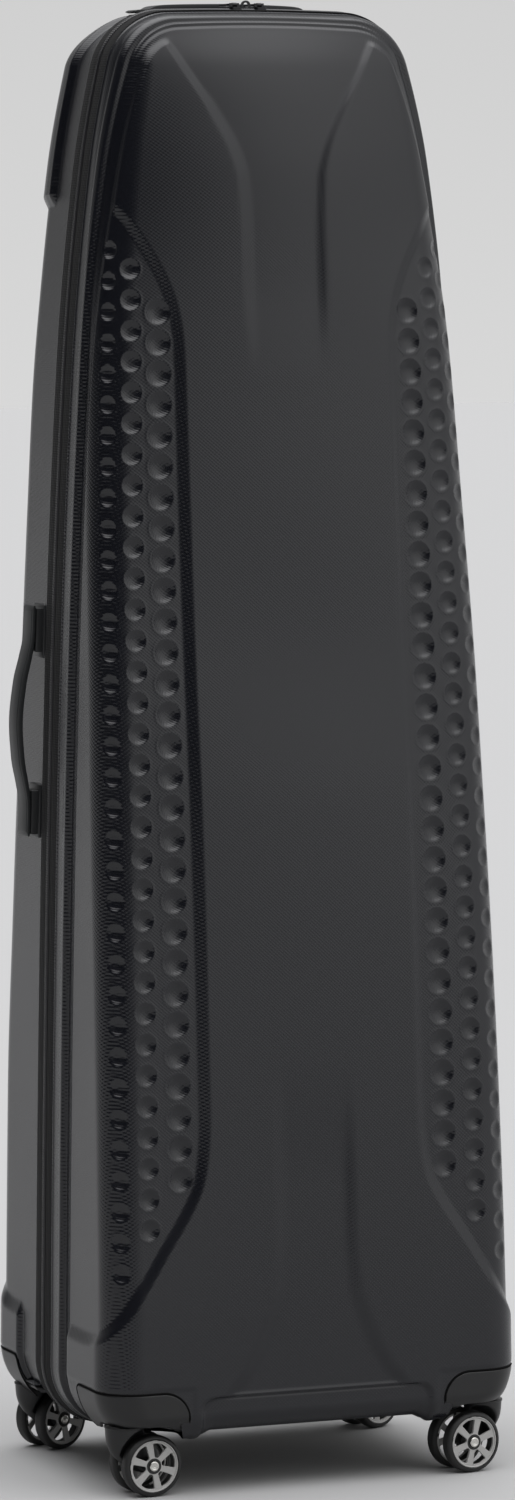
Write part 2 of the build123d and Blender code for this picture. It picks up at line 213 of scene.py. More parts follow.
# ---- materials
def add_node(tree, kind, inputs=(), **settings):
    """Adds a shader node. inputs gives its sockets a number each, or the socket that feeds it."""
    node = tree.nodes.new(kind)
    for key, value in settings.items():
        setattr(node, key, value)
    for socket, value in dict(inputs).items():
        if isinstance(value, bpy.types.NodeSocket):
            tree.links.new(value, node.inputs[socket])
        else:
            node.inputs[socket].default_value = value
    return node


def shader(name, colour, roughness, metallic=0.0, specular=0.5, sheen=0.0):
    """A principled material with its uniform values set on the shader itself."""
    material = bpy.data.materials.new(name)
    material.use_nodes = True
    node = material.node_tree.nodes["Principled BSDF"]
    node.inputs["Base Color"].default_value = (*colour, 1)
    node.inputs["Roughness"].default_value = roughness
    node.inputs["Metallic"].default_value = metallic
    node.inputs["Specular IOR Level"].default_value = specular
    node.inputs["Sheen Weight"].default_value = sheen
    return material, node


def add_bump(shade, height, strength, distance):
    """Feeds a height into a shader's normal."""
    sockets = {"Strength": strength, "Distance": distance, "Height": height}
    bump = add_node(shade.id_data, "ShaderNodeBump", sockets)
    shade.id_data.links.new(bump.outputs["Normal"], shade.inputs["Normal"])


def crosshatch(tree, pitch, directions):
    """A height made of two sets of fine ridges that cross, at a pitch in metres."""
    place = add_node(tree, "ShaderNodeTexCoord").outputs["Object"]
    waves = {}
    for k, direction in enumerate(directions):
        scaled = [2 * math.pi * d / pitch for d in direction]
        sockets = {0: place, 1: scaled}
        along = add_node(tree, "ShaderNodeVectorMath", sockets, operation="DOT_PRODUCT")
        wave = add_node(tree, "ShaderNodeMath", {0: along.outputs["Value"]}, operation="SINE")
        waves[k] = wave.outputs["Value"]
    return add_node(tree, "ShaderNodeMath", waves, operation="ADD").outputs["Value"]


def grain(tree, scale):
    """An irregular fine grain."""
    place = add_node(tree, "ShaderNodeTexCoord").outputs["Object"]
    sockets = {"Vector": place, "Scale": scale, "Detail": 3.0}
    return add_node(tree, "ShaderNodeTexNoise", sockets).outputs["Fac"]


def shell_material():
    """Moulded polycarbonate: a satin charcoal skin with a fine crossed texture."""
    material, shade = shader("polycarbonate", (0.0045, 0.0050, 0.0076), 0.24)
    tree = material.node_tree
    slant = math.sqrt(0.5)
    ridges = crosshatch(tree, 0.0024, ((slant, slant, slant), (slant, slant, -slant)))
    add_bump(shade, ridges, 0.30, 0.00009)
    gloss = {"Value": grain(tree, 9.0), "To Min": 0.20, "To Max": 0.28}
    spread = add_node(tree, "ShaderNodeMapRange", gloss)
    tree.links.new(spread.outputs["Result"], shade.inputs["Roughness"])
    return material


def plastic(name, colour, roughness, bumpiness=0.12, scale=1400.0):
    """Injection-moulded plastic with a fine spark-eroded grain."""
    material, shade = shader(name, colour, roughness)
    add_bump(shade, grain(material.node_tree, scale), bumpiness, 0.0002)
    return material


def cloth(name, colour, pitch, strength=0.5, sheen=0.2):
    """Woven cloth with its threads across and along the case."""
    material, shade = shader(name, colour, 0.82, specular=0.25, sheen=sheen)
    threads = crosshatch(material.node_tree, pitch * 2, ((0.8, 0.6, 0), (0, 0, 1)))
    add_bump(shade, threads, strength, 0.0003)
    return material


POLYCARBONATE = shell_material()
CORNER = plastic("corner_plastic", (0.0038, 0.0039, 0.0044), 0.34)
FORK = plastic("fork_plastic", (0.0048, 0.0049, 0.0054), 0.40)
HUB = plastic("hub_plastic", (0.37, 0.366, 0.358), 0.34, 0.06)
RUBBER = plastic("rubber_tyre", (0.0095, 0.0095, 0.0095), 0.55, 0.2, 900.0)
GRIP = plastic("soft_grip", (0.012, 0.0135, 0.0145), 0.48, 0.2, 1100.0)
HANDLE = plastic("handle_plastic", (0.016, 0.017, 0.018), 0.40)
BUCKLE = plastic("buckle_plastic", (0.011, 0.011, 0.011), 0.33)
# The near-black strip round each corner bracket: painted shade, standing in for the shadow line in
# the seam.
SEAM_SHADE, _ = shader("painted_seam_shade", (0.002, 0.002, 0.002), 0.9, specular=0.1)
STEEL, _ = shader("steel", (0.62, 0.61, 0.58), 0.27, metallic=1.0)
ZIP_METAL, _ = shader("zip_metal", (0.035, 0.035, 0.036), 0.28, metallic=0.85)
ZIP_COIL, _ = shader("zip_coil", (0.016, 0.016, 0.018), 0.20)
ZIP_TAPE = cloth("zip_tape", (0.0022, 0.0022, 0.0025), 0.0011, 0.4, 0.02)
LINING = cloth("lining", (0.055, 0.057, 0.062), 0.0022, 0.35, 0.25)
WEBBING = cloth("webbing", (0.016, 0.016, 0.017), 0.0018, 0.7, 0.2)
PAD = cloth("foam_cover", (0.045, 0.046, 0.050), 0.0026, 0.45, 0.3)

# ---- the case's outline
half_width = curve([(20, 202.0), (330, 198.6), (700, 191.2), (1000, 178.5), (1180, 161.5),
                    (1335, 131.0)])
BOTTOM_R = 60.0
TOP_R = 63.0
TOP_ARCH = 1.3
WALL_IN = 4.0            # the walls lie this far inside the zip
SIDE_R = 31.0            # radius of the long upright corners


def arc_end(centre_z, radius):
    """Where a corner of this radius meets the side: its centre's x, and the side's height."""
    z = centre_z
    for _ in range(6):
        slope = (half_width(z + 1) - half_width(z - 1)) / 2
        norm = math.hypot(1, slope)
        z = centre_z - radius * slope / norm
    return float(half_width(z) - radius / norm), float(z), math.atan2(-slope, 1)


bottom_centre_z = BOTTOM_Z + BOTTOM_R
top_centre_z = TOP_Z - TOP_R
bottom_centre_x, side_from, bottom_turn = arc_end(bottom_centre_z, BOTTOM_R)
top_centre_x, side_to, top_turn = arc_end(top_centre_z, TOP_R)


def half_outline():
    """The right half of the outline, in three runs: the floor, the side and the roof."""
    def corner(cx, cz, radius, start, end):
        angles = np.linspace(start, end, 40)
        return [(cx + radius * math.cos(a), cz + radius * math.sin(a)) for a in angles]

    quarter = math.pi / 4
    floor = [(x, BOTTOM_Z) for x in np.linspace(0, bottom_centre_x, 40)]
    floor += corner(bottom_centre_x, bottom_centre_z, BOTTOM_R, -2 * quarter, -quarter)
    side = corner(bottom_centre_x, bottom_centre_z, BOTTOM_R, -quarter, bottom_turn)
    side += [(float(half_width(z)), z) for z in np.linspace(side_from, side_to, 240)[1:-1]]
    side += corner(top_centre_x, top_centre_z, TOP_R, top_turn, quarter)
    roof = corner(top_centre_x, top_centre_z, TOP_R, quarter, 2 * quarter)
    for x in np.linspace(top_centre_x, 0, 40)[1:]:
        roof.append((x, TOP_Z + TOP_ARCH * (1 - (x / top_centre_x) ** 2)))
    return np.array(floor), np.array(side), np.array(roof)


def crowded(count):
    """count + 1 shares from 0 to 1, closer together where the dimples are."""
    x = np.linspace(-1, 1, 2001)
    need = 1 + 2.2 * ease(np.abs(x), 0.42, 0.52)
    run = np.r_[0, np.cumsum((need[1:] + need[:-1]) / 2)]
    return np.interp(np.linspace(0, run[-1], count + 1), run, (x + 1) / 2)


def outline_loop(across, up):
    """The closed outline from its lower left corner: floor, right side, roof, left side.
    Returns the points and their outward normals."""
    floor, side, roof = half_outline()
    mirror = np.array([-1, 1])
    floor = resample(np.r_[(floor * mirror)[::-1], floor[1:]], across, crowded(across))
    side = resample(side, up)
    roof = resample(np.r_[roof, (roof * mirror)[::-1][1:]], across, crowded(across))
    loop = np.r_[floor[:-1], side[:-1], roof[:-1], (side * mirror)[::-1][:-1]]
    along = np.roll(loop, -1, axis=0) - np.roll(loop, 1, axis=0)
    out = np.stack([along[:, 1], -along[:, 0]], axis=1)
    return loop, out / np.linalg.norm(out, axis=1, keepdims=True)


def outline_half(z):
    """Half width of the outline at a height, with its lower corner."""
    drop = np.clip(bottom_centre_z - np.asarray(z, float), 0, BOTTOM_R)
    lower = bottom_centre_x + np.sqrt(BOTTOM_R ** 2 - drop ** 2)
    return np.where(np.asarray(z) < bottom_centre_z, lower, half_width(z))


# ---- the two shells
# "edge" and "middle" are the depth from the zip to a shell's face at some heights, beside its
# upright corners and on its middle line. The falls are how far its walls lean in for each
# millimetre of depth, the turns are how far its edges round off, "step" is how high the raised
# middle stands, and its corner brackets end "bracket_end" from the zip.
FRONT = {
    "side": -1,
    "body": "lid",
    "corners": ("front_left", "front_right"),
    "bracket_end": 90.0,
    "edge": curve([(20, 166), (150, 163.5), (333, 153), (514, 138), (700, 118.5), (875, 98.5),
                   (1020, 85), (1120, 72.5), (1201, 65), (1264, 56), (1310, 42)]),
    "middle": curve([(20, 166), (150, 163.5), (400, 150.5), (600, 135.5), (768, 114), (900, 104),
                     (1000, 96.5), (1100, 89.4), (1172, 83.4), (1224, 75), (1264, 64.5), (1298, 49),
                     (1318, 37)]),
    "roof_fall": 0.17,
    "corner_fall": 0.0,
    "floor_fall": 0.085,
    "roof_turn": 9.0,
    "floor_turn": 16.0,
    "roof_ring": 34.0,
    "step": curve([(0, 4.3), (820, 4.3), (1100, 2.6), (1320, 2.6)]),
}
BACK = {
    "side": 1,
    "body": "case",
    "corners": ("rear_left", "rear_right"),
    "bracket_end": 66.5,
    "edge": curve([(20, 131), (330, 131), (514, 123), (700, 115), (875, 111.5), (966, 111),
                   (1074, 107), (1180, 105.5), (1264, 104), (1310, 96)]),
    "middle": curve([(20, 129), (330, 130), (514, 124), (700, 117), (875, 113.5), (1074, 110),
                     (1180, 109), (1264, 106), (1318, 96)]),
    "roof_fall": 0.13,
    "corner_fall": 0.05,
    "floor_fall": 0.10,
    "roof_turn": 40.0,
    "floor_turn": 16.0,
    "roof_ring": 38.0,
    "step": curve([(0, 4.6), (820, 4.6), (1100, 5.5), (1320, 5.5)]),
}
FLOOR_RING = 34.0        # the ring round the face lies this far inside the outline, underneath
SHELL_THICK = 3.0
MOUTH = 19.0             # the shells end this far from the zip plane
FEATURES_END = 64.0      # the mouldings beside the zip end here


def face_depth(shell, x, z):
    """Depth of a shell's face, which crowns towards its middle."""
    edge = shell["edge"](z)
    reach = np.clip(half_width(z) - WALL_IN - SIDE_R, 60, None)
    crown = 1 - np.clip(np.abs(x) / reach, 0, 1.15) ** 2
    return edge + (shell["middle"](z) - edge) * crown


def profiles(shell, loop, out, rows):
    """Lines from the mouth to the ring round the face, one for each point of the loop. Returns the
    ring, the (inset, depth, distance from the zip) of each line's rows, each line's length, and how
    far each point belongs to the roof."""
    roofness = np.clip(out[:, 1], 0, 1) ** 2
    floorness = np.clip(-out[:, 1], 0, 1) ** 2
    sideness = 1 - roofness - floorness
    start = WALL_IN * (1 - roofness) + 0.7 * roofness
    fall = shell["roof_fall"] * roofness + shell["floor_fall"] * floorness
    fall = fall + shell["corner_fall"] * 4 * roofness * sideness
    turn = SIDE_R * sideness + shell["roof_turn"] * roofness + shell["floor_turn"] * floorness
    ring_in = (WALL_IN + SIDE_R) * sideness + shell["roof_ring"] * roofness + FLOOR_RING * floorness
    ring = loop - out * ring_in[:, None]
    inner = loop - out * (ring_in + 4)[:, None]
    depth = face_depth(shell, ring[:, 0], ring[:, 1])
    slope = (face_depth(shell, inner[:, 0], inner[:, 1]) - depth) / 4
    # the wall is q = start + fall * d and the face is d = depth - slope * (ring_in - q)
    meet_q = (start + fall * (depth - slope * ring_in)) / (1 - fall * slope)
    meet_d = depth - slope * (ring_in - meet_q)
    lines, lengths = [], []
    blend = np.linspace(0, 1, 26)[:, None]
    for k in range(len(loop)):
        wall = np.array([fall[k], 1.0])
        wall /= np.linalg.norm(wall)
        face = np.array([1.0, slope[k]])
        face /= np.linalg.norm(face)
        corner = np.array([meet_q[k], meet_d[k]])
        end = np.array([ring_in[k], depth[k]])
        reach = min(turn[k], np.linalg.norm(end - corner), meet_d[k] - MOUTH - 1)
        a, c = corner - wall * reach, corner + face * reach
        weight = math.cos(math.acos(np.clip(wall @ face, -1, 1)) / 2)
        share = (1 - blend) ** 2 + 2 * weight * blend * (1 - blend) + blend ** 2
        bend = (1 - blend) ** 2 * a + 2 * weight * blend * (1 - blend) * corner + blend ** 2 * c
        bend = bend / share
        mouth = np.array([start[k] + fall[k] * MOUTH, MOUTH])
        path = np.r_[[mouth], bend, [end]]
        run = MOUTH + run_of(path)
        at = np.where(rows <= 1, MOUTH + rows * (FEATURES_END - MOUTH), 0)
        at = np.where(rows > 1, FEATURES_END + (rows - 1) * (run[-1] - FEATURES_END), at)
        inset, deep = (np.interp(at, run, path[:, k]) for k in range(2))
        lines.append(np.stack([inset, deep, at], axis=1))
        lengths.append(run[-1])
    return ring, np.array(lines), np.array(lengths), roofness


def shell_surface(shell, across, up, near_rows, far_rows):
    """The smooth outside of one shell, without its mouldings. Returns its points, faces and
    normals, and each point's place: "x" from the middle, "z", "span" from the middle line round
    the face and corner, "ell" from the zip along the wall, and "roof", its share in the roof."""
    side = shell["side"]
    loop, out = outline_loop(across, up)
    rows = np.r_[np.linspace(0, 1, near_rows), np.linspace(1, 2, far_rows + 1)[1:]]
    ring, lines, lengths, roofness = profiles(shell, loop, out, rows)
    u = crowded(across)[None, :, None]
    v = np.linspace(0, 1, up + 1)[:, None, None]
    closed = np.r_[ring, ring[:1]]
    floor = closed[: across + 1][None]
    right = closed[across: across + up + 1][:, None]
    roof = closed[across + up: 2 * across + up + 1][::-1][None]
    left = closed[2 * across + up:][::-1][:, None]
    grid = (1 - v) * floor + v * roof + (1 - u) * left + u * right
    grid -= (1 - u) * (1 - v) * floor[:, :1] + u * (1 - v) * floor[:, -1:]
    grid -= (1 - u) * v * roof[:, :1] + u * v * roof[:, -1:]
    grid = grid.reshape(-1, 2)
    face_y = ZIP_Y + side * face_depth(shell, grid[:, 0], grid[:, 1])
    face_points = np.stack([grid[:, 0], face_y, grid[:, 1]], 1)
    index = np.arange((up + 1) * (across + 1)).reshape(up + 1, across + 1)
    rim = np.r_[index[0, :-1], index[:-1, -1], index[-1, ::-1][:-1], index[::-1, 0][:-1]]
    count = len(loop)
    strips = []
    order = range(len(rows) - 2, -1, -1)
    for r in order:
        spot = loop - out * lines[:, r, 0][:, None]
        strips.append(np.stack([spot[:, 0], ZIP_Y + side * lines[:, r, 1], spot[:, 1]], axis=1))
    points = np.concatenate([face_points] + strips)
    far = np.full(len(face_points), 999.0)
    ell = np.concatenate([far] + [lines[:, r, 2] for r in order])
    reach = np.abs(ring[:, 0]) + lengths
    span = [np.abs(face_points[:, 0])] + [reach - lines[:, r, 2] for r in order]
    roofs = np.concatenate([np.zeros(len(face_points))] + [roofness] * len(strips))
    chain = np.r_[rim[None], len(face_points) + np.arange(len(strips) * count).reshape(-1, count)]
    belt = [np.stack([a, np.roll(a, -1), np.roll(b, -1), b], axis=1)
            for a, b in zip(chain, chain[1:])]
    faces = np.r_[quads(up + 1, across + 1), np.concatenate(belt)[:, ::-1]]
    normal = normals_of(points, faces)
    if np.mean(normal[: len(face_points), 1]) * side < 0:
        faces, normal = faces[:, ::-1], -normal
    know = {"x": np.abs(points[:, 0]), "z": points[:, 2], "span": np.concatenate(span), "ell": ell,
            "roof": roofs}
    return points, faces, normal, know


# Edge of the raised middle: distance from the middle line round the face and corner, and height
STEP_LOW, STEP_TOP, STEP_OUT = 138, 1146, 400
STEP_LINE = [(STEP_OUT, STEP_TOP), (170, STEP_TOP), (150, 1138), (131, 1108), (117, 1083),
             (108, 1060), (103, 1036), (102, 1009), (103, 660), (104, 319), (110, 275), (118, 262),
             (130, 241), (143, 224), (158, 199), (170, 181), (186, 157), (205, 142),
             (225, STEP_LOW), (STEP_OUT, STEP_LOW)]
STEP_BAND = 10.0         # how wide the slope from one height to the other is


def raised(know):
    """1 on the raised middle, shoulders and boots, 0 on the dimpled fields and side walls."""
    line = resample(STEP_LINE, 260)
    for _ in range(10):
        line[1:-1] = (line[:-2] + 2 * line[1:-1] + line[2:]) / 4
    s, z = np.minimum(know["span"], STEP_OUT - 5), know["z"]
    away = np.full(len(s), 1e9)
    for a, b in zip(line[:-1], line[1:]):
        step = b - a
        t = np.clip(((s - a[0]) * step[0] + (z - a[1]) * step[1]) / (step @ step), 0, 1)
        away = np.minimum(away, (s - a[0] - t * step[0]) ** 2 + (z - a[1] - t * step[1]) ** 2)
    order = np.argsort(line[:, 1])
    beyond = s > np.interp(z, line[order, 1], line[order, 0])
    signed = np.sqrt(away) * np.where(beyond & (z > STEP_LOW) & (z < STEP_TOP), -1, 1)
    wall = ease(s, 185, 225)     # the slope is wider and softer on the side walls
    share = signed / (STEP_BAND + 7 * wall)
    flat = np.clip(share + 0.5, 0, 1)
    return flat + (ease(share, -0.5, 0.5) - flat) * (0.35 + 0.65 * wall)


DIMPLE_PITCH = 27.3
DIMPLE_TOP = 1102.0
inner_column = curve([(400, 127.5), (700, 124.5), (900, 123), (1060, 120)])
outer_inset = curve([(250, 15.5), (400, 15.3), (677, 14.4), (900, 12.5), (1094, 9)])


def dimples(know, deep=3.0):
    """Depth of the three columns of round dimples on each side."""
    s, z = know["span"], know["z"]
    outer, inner = half_width(z) - outer_inset(z), inner_column(z)
    # middle, shift and radius of each column, how deep it is, and its lowest and highest dimple
    columns = [
        (outer, 0.0, 7.9, 0.72, DIMPLE_TOP - 33.4 * DIMPLE_PITCH, DIMPLE_TOP + 14),
        ((outer + inner) / 2 + 1.7, 0.6, 9.0, 0.86, DIMPLE_TOP - 31.9 * DIMPLE_PITCH, DIMPLE_TOP),
        (inner, 0.0, 10.8, 1.0, DIMPLE_TOP - 30.4 * DIMPLE_PITCH, DIMPLE_TOP - 1.6 * DIMPLE_PITCH),
    ]
    total = np.zeros(len(s))
    for middle, shift, radius, share, low, high in columns:
        turns = np.round((DIMPLE_TOP - z) / DIMPLE_PITCH - shift) + shift
        centre = DIMPLE_TOP - turns * DIMPLE_PITCH
        away = np.hypot(s - middle, z - centre) / radius
        bowl = np.where(away < 1, 1 - away ** 2.4, 0) * deep * share
        lip = 0.22 * np.exp(-((away - 1.10) / 0.12) ** 2)
        total += np.where((centre > low) & (centre < high), lip - bowl, 0)
    return total


upper_channel = curve([(990, 33), (1061, 35), (1120, 35.5), (1165, 37.5), (1190, 44), (1224, 61),
                       (1264, 85), (1298, 105), (1320, 118)])
lower_channel = curve([(60, 104), (90, 83), (107, 68), (139, 51), (182, 37), (226, 34), (347, 33)])


def channels(know):
    """Depth of the shallow hourglass sunk into the middle, above and below."""
    x, z = know["x"], know["z"]
    total = np.zeros(len(x))
    for width, fade in ((upper_channel, ease(z, 985, 1085) * ease(z, 1306, 1299)),
                        (lower_channel, ease(z, 385, 270) * ease(z, 84, 92))):
        slope = (width(z + 2) - width(z - 2)) / 4
        signed = (width(z) - x) / np.hypot(1, slope)
        total -= 2.5 * ease(signed, -4.5, 4.5) * fade
    return total


def foot_panel(know):
    """The sunk panel low on the front, between the two feet."""
    x, z = know["x"], know["z"]
    side = np.maximum(x - 100, 0)
    high = np.maximum(z - 76, 0)
    away = 12 - np.hypot(side, high)
    return -3.2 * ease(away, -1.2, 2.2 + 3 * ease(x, 92, 108))


side_moulding = curve([(19, -2.5), (19.4, 1.6), (20.4, 3.0), (21.6, 3.1), (23, 2.1), (24.2, 2.0),
                       (34.5, 2.0), (36, 2.9), (38, 3.2), (42, 3.2), (43.8, 2.6), (45.6, -0.4),
                       (47.2, -1.7), (56.5, -1.7), (59, -0.9), (62, 0.0), (64, 0.0)])
roof_moulding = curve([(19, -2.5), (19.4, 0.4), (20.4, 1.1), (21.6, 1.1), (23, 0.4), (40, 0.4),
                       (42.5, 0.2), (44, -1.9), (46.6, -2.0), (48, 0.0), (49.2, 0.0), (50.2, -1.1),
                       (51.8, -1.1), (53.4, 0.0), (64, 0.0)])
back_moulding = curve([(19, -2.5), (19.4, 0.9), (20.6, 2.0), (22, 2.0), (23.6, 0.7), (26, 0.0),
                       (64, 0.0)])


def mouldings(shell, know):
    """Beads and grooves beside the zip, which follow it all round."""
    ell = np.minimum(know["ell"], FEATURES_END)
    if shell["side"] > 0:
        return back_moulding(ell)
    roof = know["roof"]
    return side_moulding(ell) * (1 - roof) + roof_moulding(ell) * roof


CORNERS = [(name, shell) for shell in (FRONT, BACK) for name in shell["corners"]]
caster_places = {name: middle_mm(f"{name}_king_pin") for name, _ in CORNERS}
WELL_R = 52.0            # each wheel well is round, about its king pin
WELL_LOW = 44.0
WELL_TOP = 68.0
WHEEL_TOP = 57.5         # the wheels turn below this height
BRACKET_SINK = 0.7       # the shells lie this much lower under the corner brackets
FOOT_DROP = 3.6          # the two feet under the lid reach this much lower


def open_wells(shell, points, faces, radius):
    """Cuts the round wheel wells out of the underside of a shell, lower beside the brackets."""
    keep = np.ones(len(faces), bool)
    beside = np.abs(points[:, 1] - ZIP_Y) < shell["bracket_end"]
    top = np.where(beside, WHEEL_TOP, WELL_TOP)
    for name in shell["corners"]:
        centre = caster_places[name][:2]
        away = points[:, :2] - centre
        reach = np.linalg.norm(away, axis=1)
        near = (np.abs(reach - radius) < 1.3) & (points[:, 2] < top + 2)
        points[near, :2] = centre + away[near] * (radius / reach[near])[:, None]
        reach = np.linalg.norm(points[:, :2] - centre, axis=1)
        inside = (reach < radius - 0.2) & (points[:, 2] < top)
        keep &= ~inside[faces].any(axis=1)
    return faces[keep]


def build_shell(shell, node, fine):
    """One shell: its moulded outside and a plain inside skin, joined in one piece."""
    across, up = fine[:2]
    points, faces, normal, know = shell_surface(shell, *fine)
    step = shell["step"](know["z"])
    high = raised(know)
    inward = ease(know["ell"], 58, 66)
    shift = step * high * inward
    shift += dimples(know) * (1 - high)
    if shell["side"] < 0:
        shift += channels(know) * inward
        shift += foot_panel(know) * ease(know["ell"], 120, 140)
    shift += mouldings(shell, know)
    under = ease(know["x"], 116, 121) * ease(know["z"], 99, 95) * ease(know["ell"], 56, 60)
    shift -= BRACKET_SINK * under
    points = points + normal * shift[:, None]
    if shell["side"] < 0:
        foot = ease(know["x"], 98, 108) * ease(points[:, 2], 80, 60) * ease(know["ell"], 130, 150)
        points[:, 2] -= FOOT_DROP * foot
    faces = open_wells(shell, points, faces, WELL_R)
    inner, inner_faces, inner_normal, _ = shell_surface(shell, across // 5, up // 6, 6, 12)
    inner = inner - inner_normal * SHELL_THICK
    inner_faces = open_wells(shell, inner, inner_faces, WELL_R + SHELL_THICK)
    parts = merged([(points, faces), (inner, inner_faces[:, ::-1])])
    piece(node, *parts, POLYCARBONATE, shell["body"], "polycarbonate", [node])


# how many points across the face, up it, beside the zip and from there to the face
FINE = ((180, 860, 40, 64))
build_shell(FRONT, "front_shell", FINE)
build_shell(BACK, "back_shell", FINE)

# ---- linings
def build_lining(shell, node):
    """The cloth lining just inside one shell."""
    points, faces, normal, _ = shell_surface(shell, 40, 150, 8, 14)
    waves = 0.35 * np.sin(points[:, 2] / 31.0) * np.sin(points[:, 0] / 23.0 + 1.3)
    points = points - normal * (SHELL_THICK + 0.9 + waves)[:, None]
    faces = open_wells(shell, points, faces, WELL_R + 4.5)
    piece(node, points, faces, LINING, shell["body"], "lining", [node])


build_lining(FRONT, "front_lining")
build_lining(BACK, "back_lining")


# ---- simple shapes
def lathe(profile, segments=64):
    """Turns a closed (radius, distance) profile about the local Y axis."""
    profile = np.asarray(profile, float)
    points = [(r * math.cos(a), y, r * math.sin(a))
              for a in round_turn(segments) for r, y in profile]
    count = len(profile)
    faces = []
    for i in range(segments):
        for j in range(count):
            a, b = i * count, ((i + 1) % segments) * count
            faces.append((a + j, a + (j + 1) % count, b + (j + 1) % count, b + j))
    return np.array(points), faces


def block(low, high, radius, segments=3):
    """A block with rounded edges."""
    shape = bmesh.new()
    bmesh.ops.create_cube(shape, size=1)
    low, high = np.array(low, float), np.array(high, float)
    for vertex in shape.verts:
        vertex.co = (low + high) / 2 + np.array(vertex.co) * (high - low)
    bmesh.ops.bevel(shape, geom=list(shape.edges), offset=radius, segments=segments, profile=0.5,
                    affect="EDGES")
    shape.verts.index_update()
    points = np.array([tuple(v.co) for v in shape.verts])
    faces = [[v.index for v in f.verts] for f in shape.faces]
    shape.free()
    return points, faces


def sweep(path, section):
    """Carries a closed section along a flat path. path rows are (u, w, thickness scale), and the
    section is in (across the path, along Y). Returns points (u, y, w)."""
    path = np.asarray(path, float)
    along = np.gradient(path[:, :2], axis=0)
    along /= np.linalg.norm(along, axis=1, keepdims=True)
    side = np.stack([-along[:, 1], along[:, 0]], axis=1)
    section = np.asarray(section, float)
    points = []
    for (u, w, scale), n in zip(path, side):
        for across, y in section:
            points.append((u + n[0] * across * scale, y, w + n[1] * across * scale))
    count = len(section)
    faces = [list(f) for f in quads(len(path), count, wrap=True)]
    faces.append(list(range(count))[::-1])
    faces.append([(len(path) - 1) * count + k for k in range(count)])
    return np.array(points), faces


def lathe_up(profile, middle):
    """Turns a closed (radius, height) profile about an upright axis."""
    points, faces = lathe(profile, 72)
    return points[:, [0, 2, 1]] + np.array(middle), faces


def strip_section(half_y, radius, half_across=0.5):
    """A strip's section: its thickness, scaled later, and its width along Y."""
    return rounded_corners((-half_across, -half_y), (half_across, half_y), radius, 5)


# ---- the zip
TAPE_ROWS = [(0, 1.9), (0.06, 1.5), (0.5, 1.7), (0.94, 1.5), (1, 1.9), (1, 2.8), (0, 2.8)]
COIL_ROWS = [(0, 0.5), (0.2, 0.05), (0.5, 0.0), (0.8, 0.35), (1, 1.2), (1, 2.4), (0, 2.4)]
COIL_PITCH = 2.2


def band(node, near, far, rows, material, slot, count, ribs):
    """A strip that follows the outline, from one distance to another from the zip's plane. rows are
    (share of the way across, inset), and ribs is the height of the coil's teeth."""
    shell = FRONT if node.startswith("front") else BACK
    loop, out = outline_loop(count // 8, count * 3 // 8)
    ripple = ribs * np.cos(2 * math.pi * run_of(loop) / COIL_PITCH)
    low_y, high_y = ZIP_Y + shell["side"] * near, ZIP_Y + shell["side"] * far
    points = []
    for share, inset in rows:
        spot = loop - out * (inset - ripple * (inset < 1.2))[:, None]
        y = np.full(len(loop), low_y + share * (high_y - low_y))
        points.append(np.stack([spot[:, 0], y, spot[:, 1]], axis=1))
    points.append(points[0])
    faces = quads(len(points), len(loop), wrap=True)
    piece(node, np.concatenate(points), faces, material, shell["body"], slot, [node])


coil_count = 5600
for half in ("front", "back"):
    band(f"{half}_zip_tape", 2.3, 20.5, TAPE_ROWS, ZIP_TAPE, "zip_tape", 1400, 0.0)
for half in ("front", "back"):
    band(f"{half}_zip_coil", 0.15, 2.7, COIL_ROWS, ZIP_COIL, "zip_coil", coil_count, 0.22)


def build_hinge_tape():
    """Woven tape that crosses the zip on the hinge side."""
    low, high = box_mm("hinge_tape")
    zs = np.linspace(low[2], high[2], 160)
    across = np.linspace(-1, 1, 23)
    outer, inner = [], []
    for z in zs:
        for t in across:
            proud = 0.9 + 0.9 * math.cos(t * math.pi / 2) + 0.10 * math.sin(z / 3.0 + t)
            outer.append((float(half_width(z)) + proud - 0.6, ZIP_Y + 20.0 * t, z))
            inner.append((float(half_width(z)) + proud - 1.2, ZIP_Y + 20.0 * t, z))
    count = len(outer)
    sheet = quads(len(zs), len(across))
    faces = [list(f) for f in sheet] + [list(f + count) for f in sheet[:, ::-1]]
    tape = piece("hinge_tape", outer + inner, faces, ZIP_TAPE, None, "zip_tape", ["hinge_tape"])
    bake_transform(tape)


build_hinge_tape()


# ---- corner brackets
SEAM_Z = 94.0            # upper edge of the brackets
SEAM_W = 1.7
BRACKET_X = 124.0        # the brackets reach this far in along the front
FOOT_TURN = 16.0         # radius of the face's turn towards the underside
FOOT_TURN_TOP = 74.0     # the turn starts below this height
TIP_R = 24.0             # radius of a bracket's upper corner on the face
ZIP_TIP_R = 6.0          # and of the one near the zip
ROOF_LOW = 64.2          # underside of the roof over each wheel
ROOF_EDGE = 64.6         # its edge rounds off below this height
ROOF_TOP = 67.8


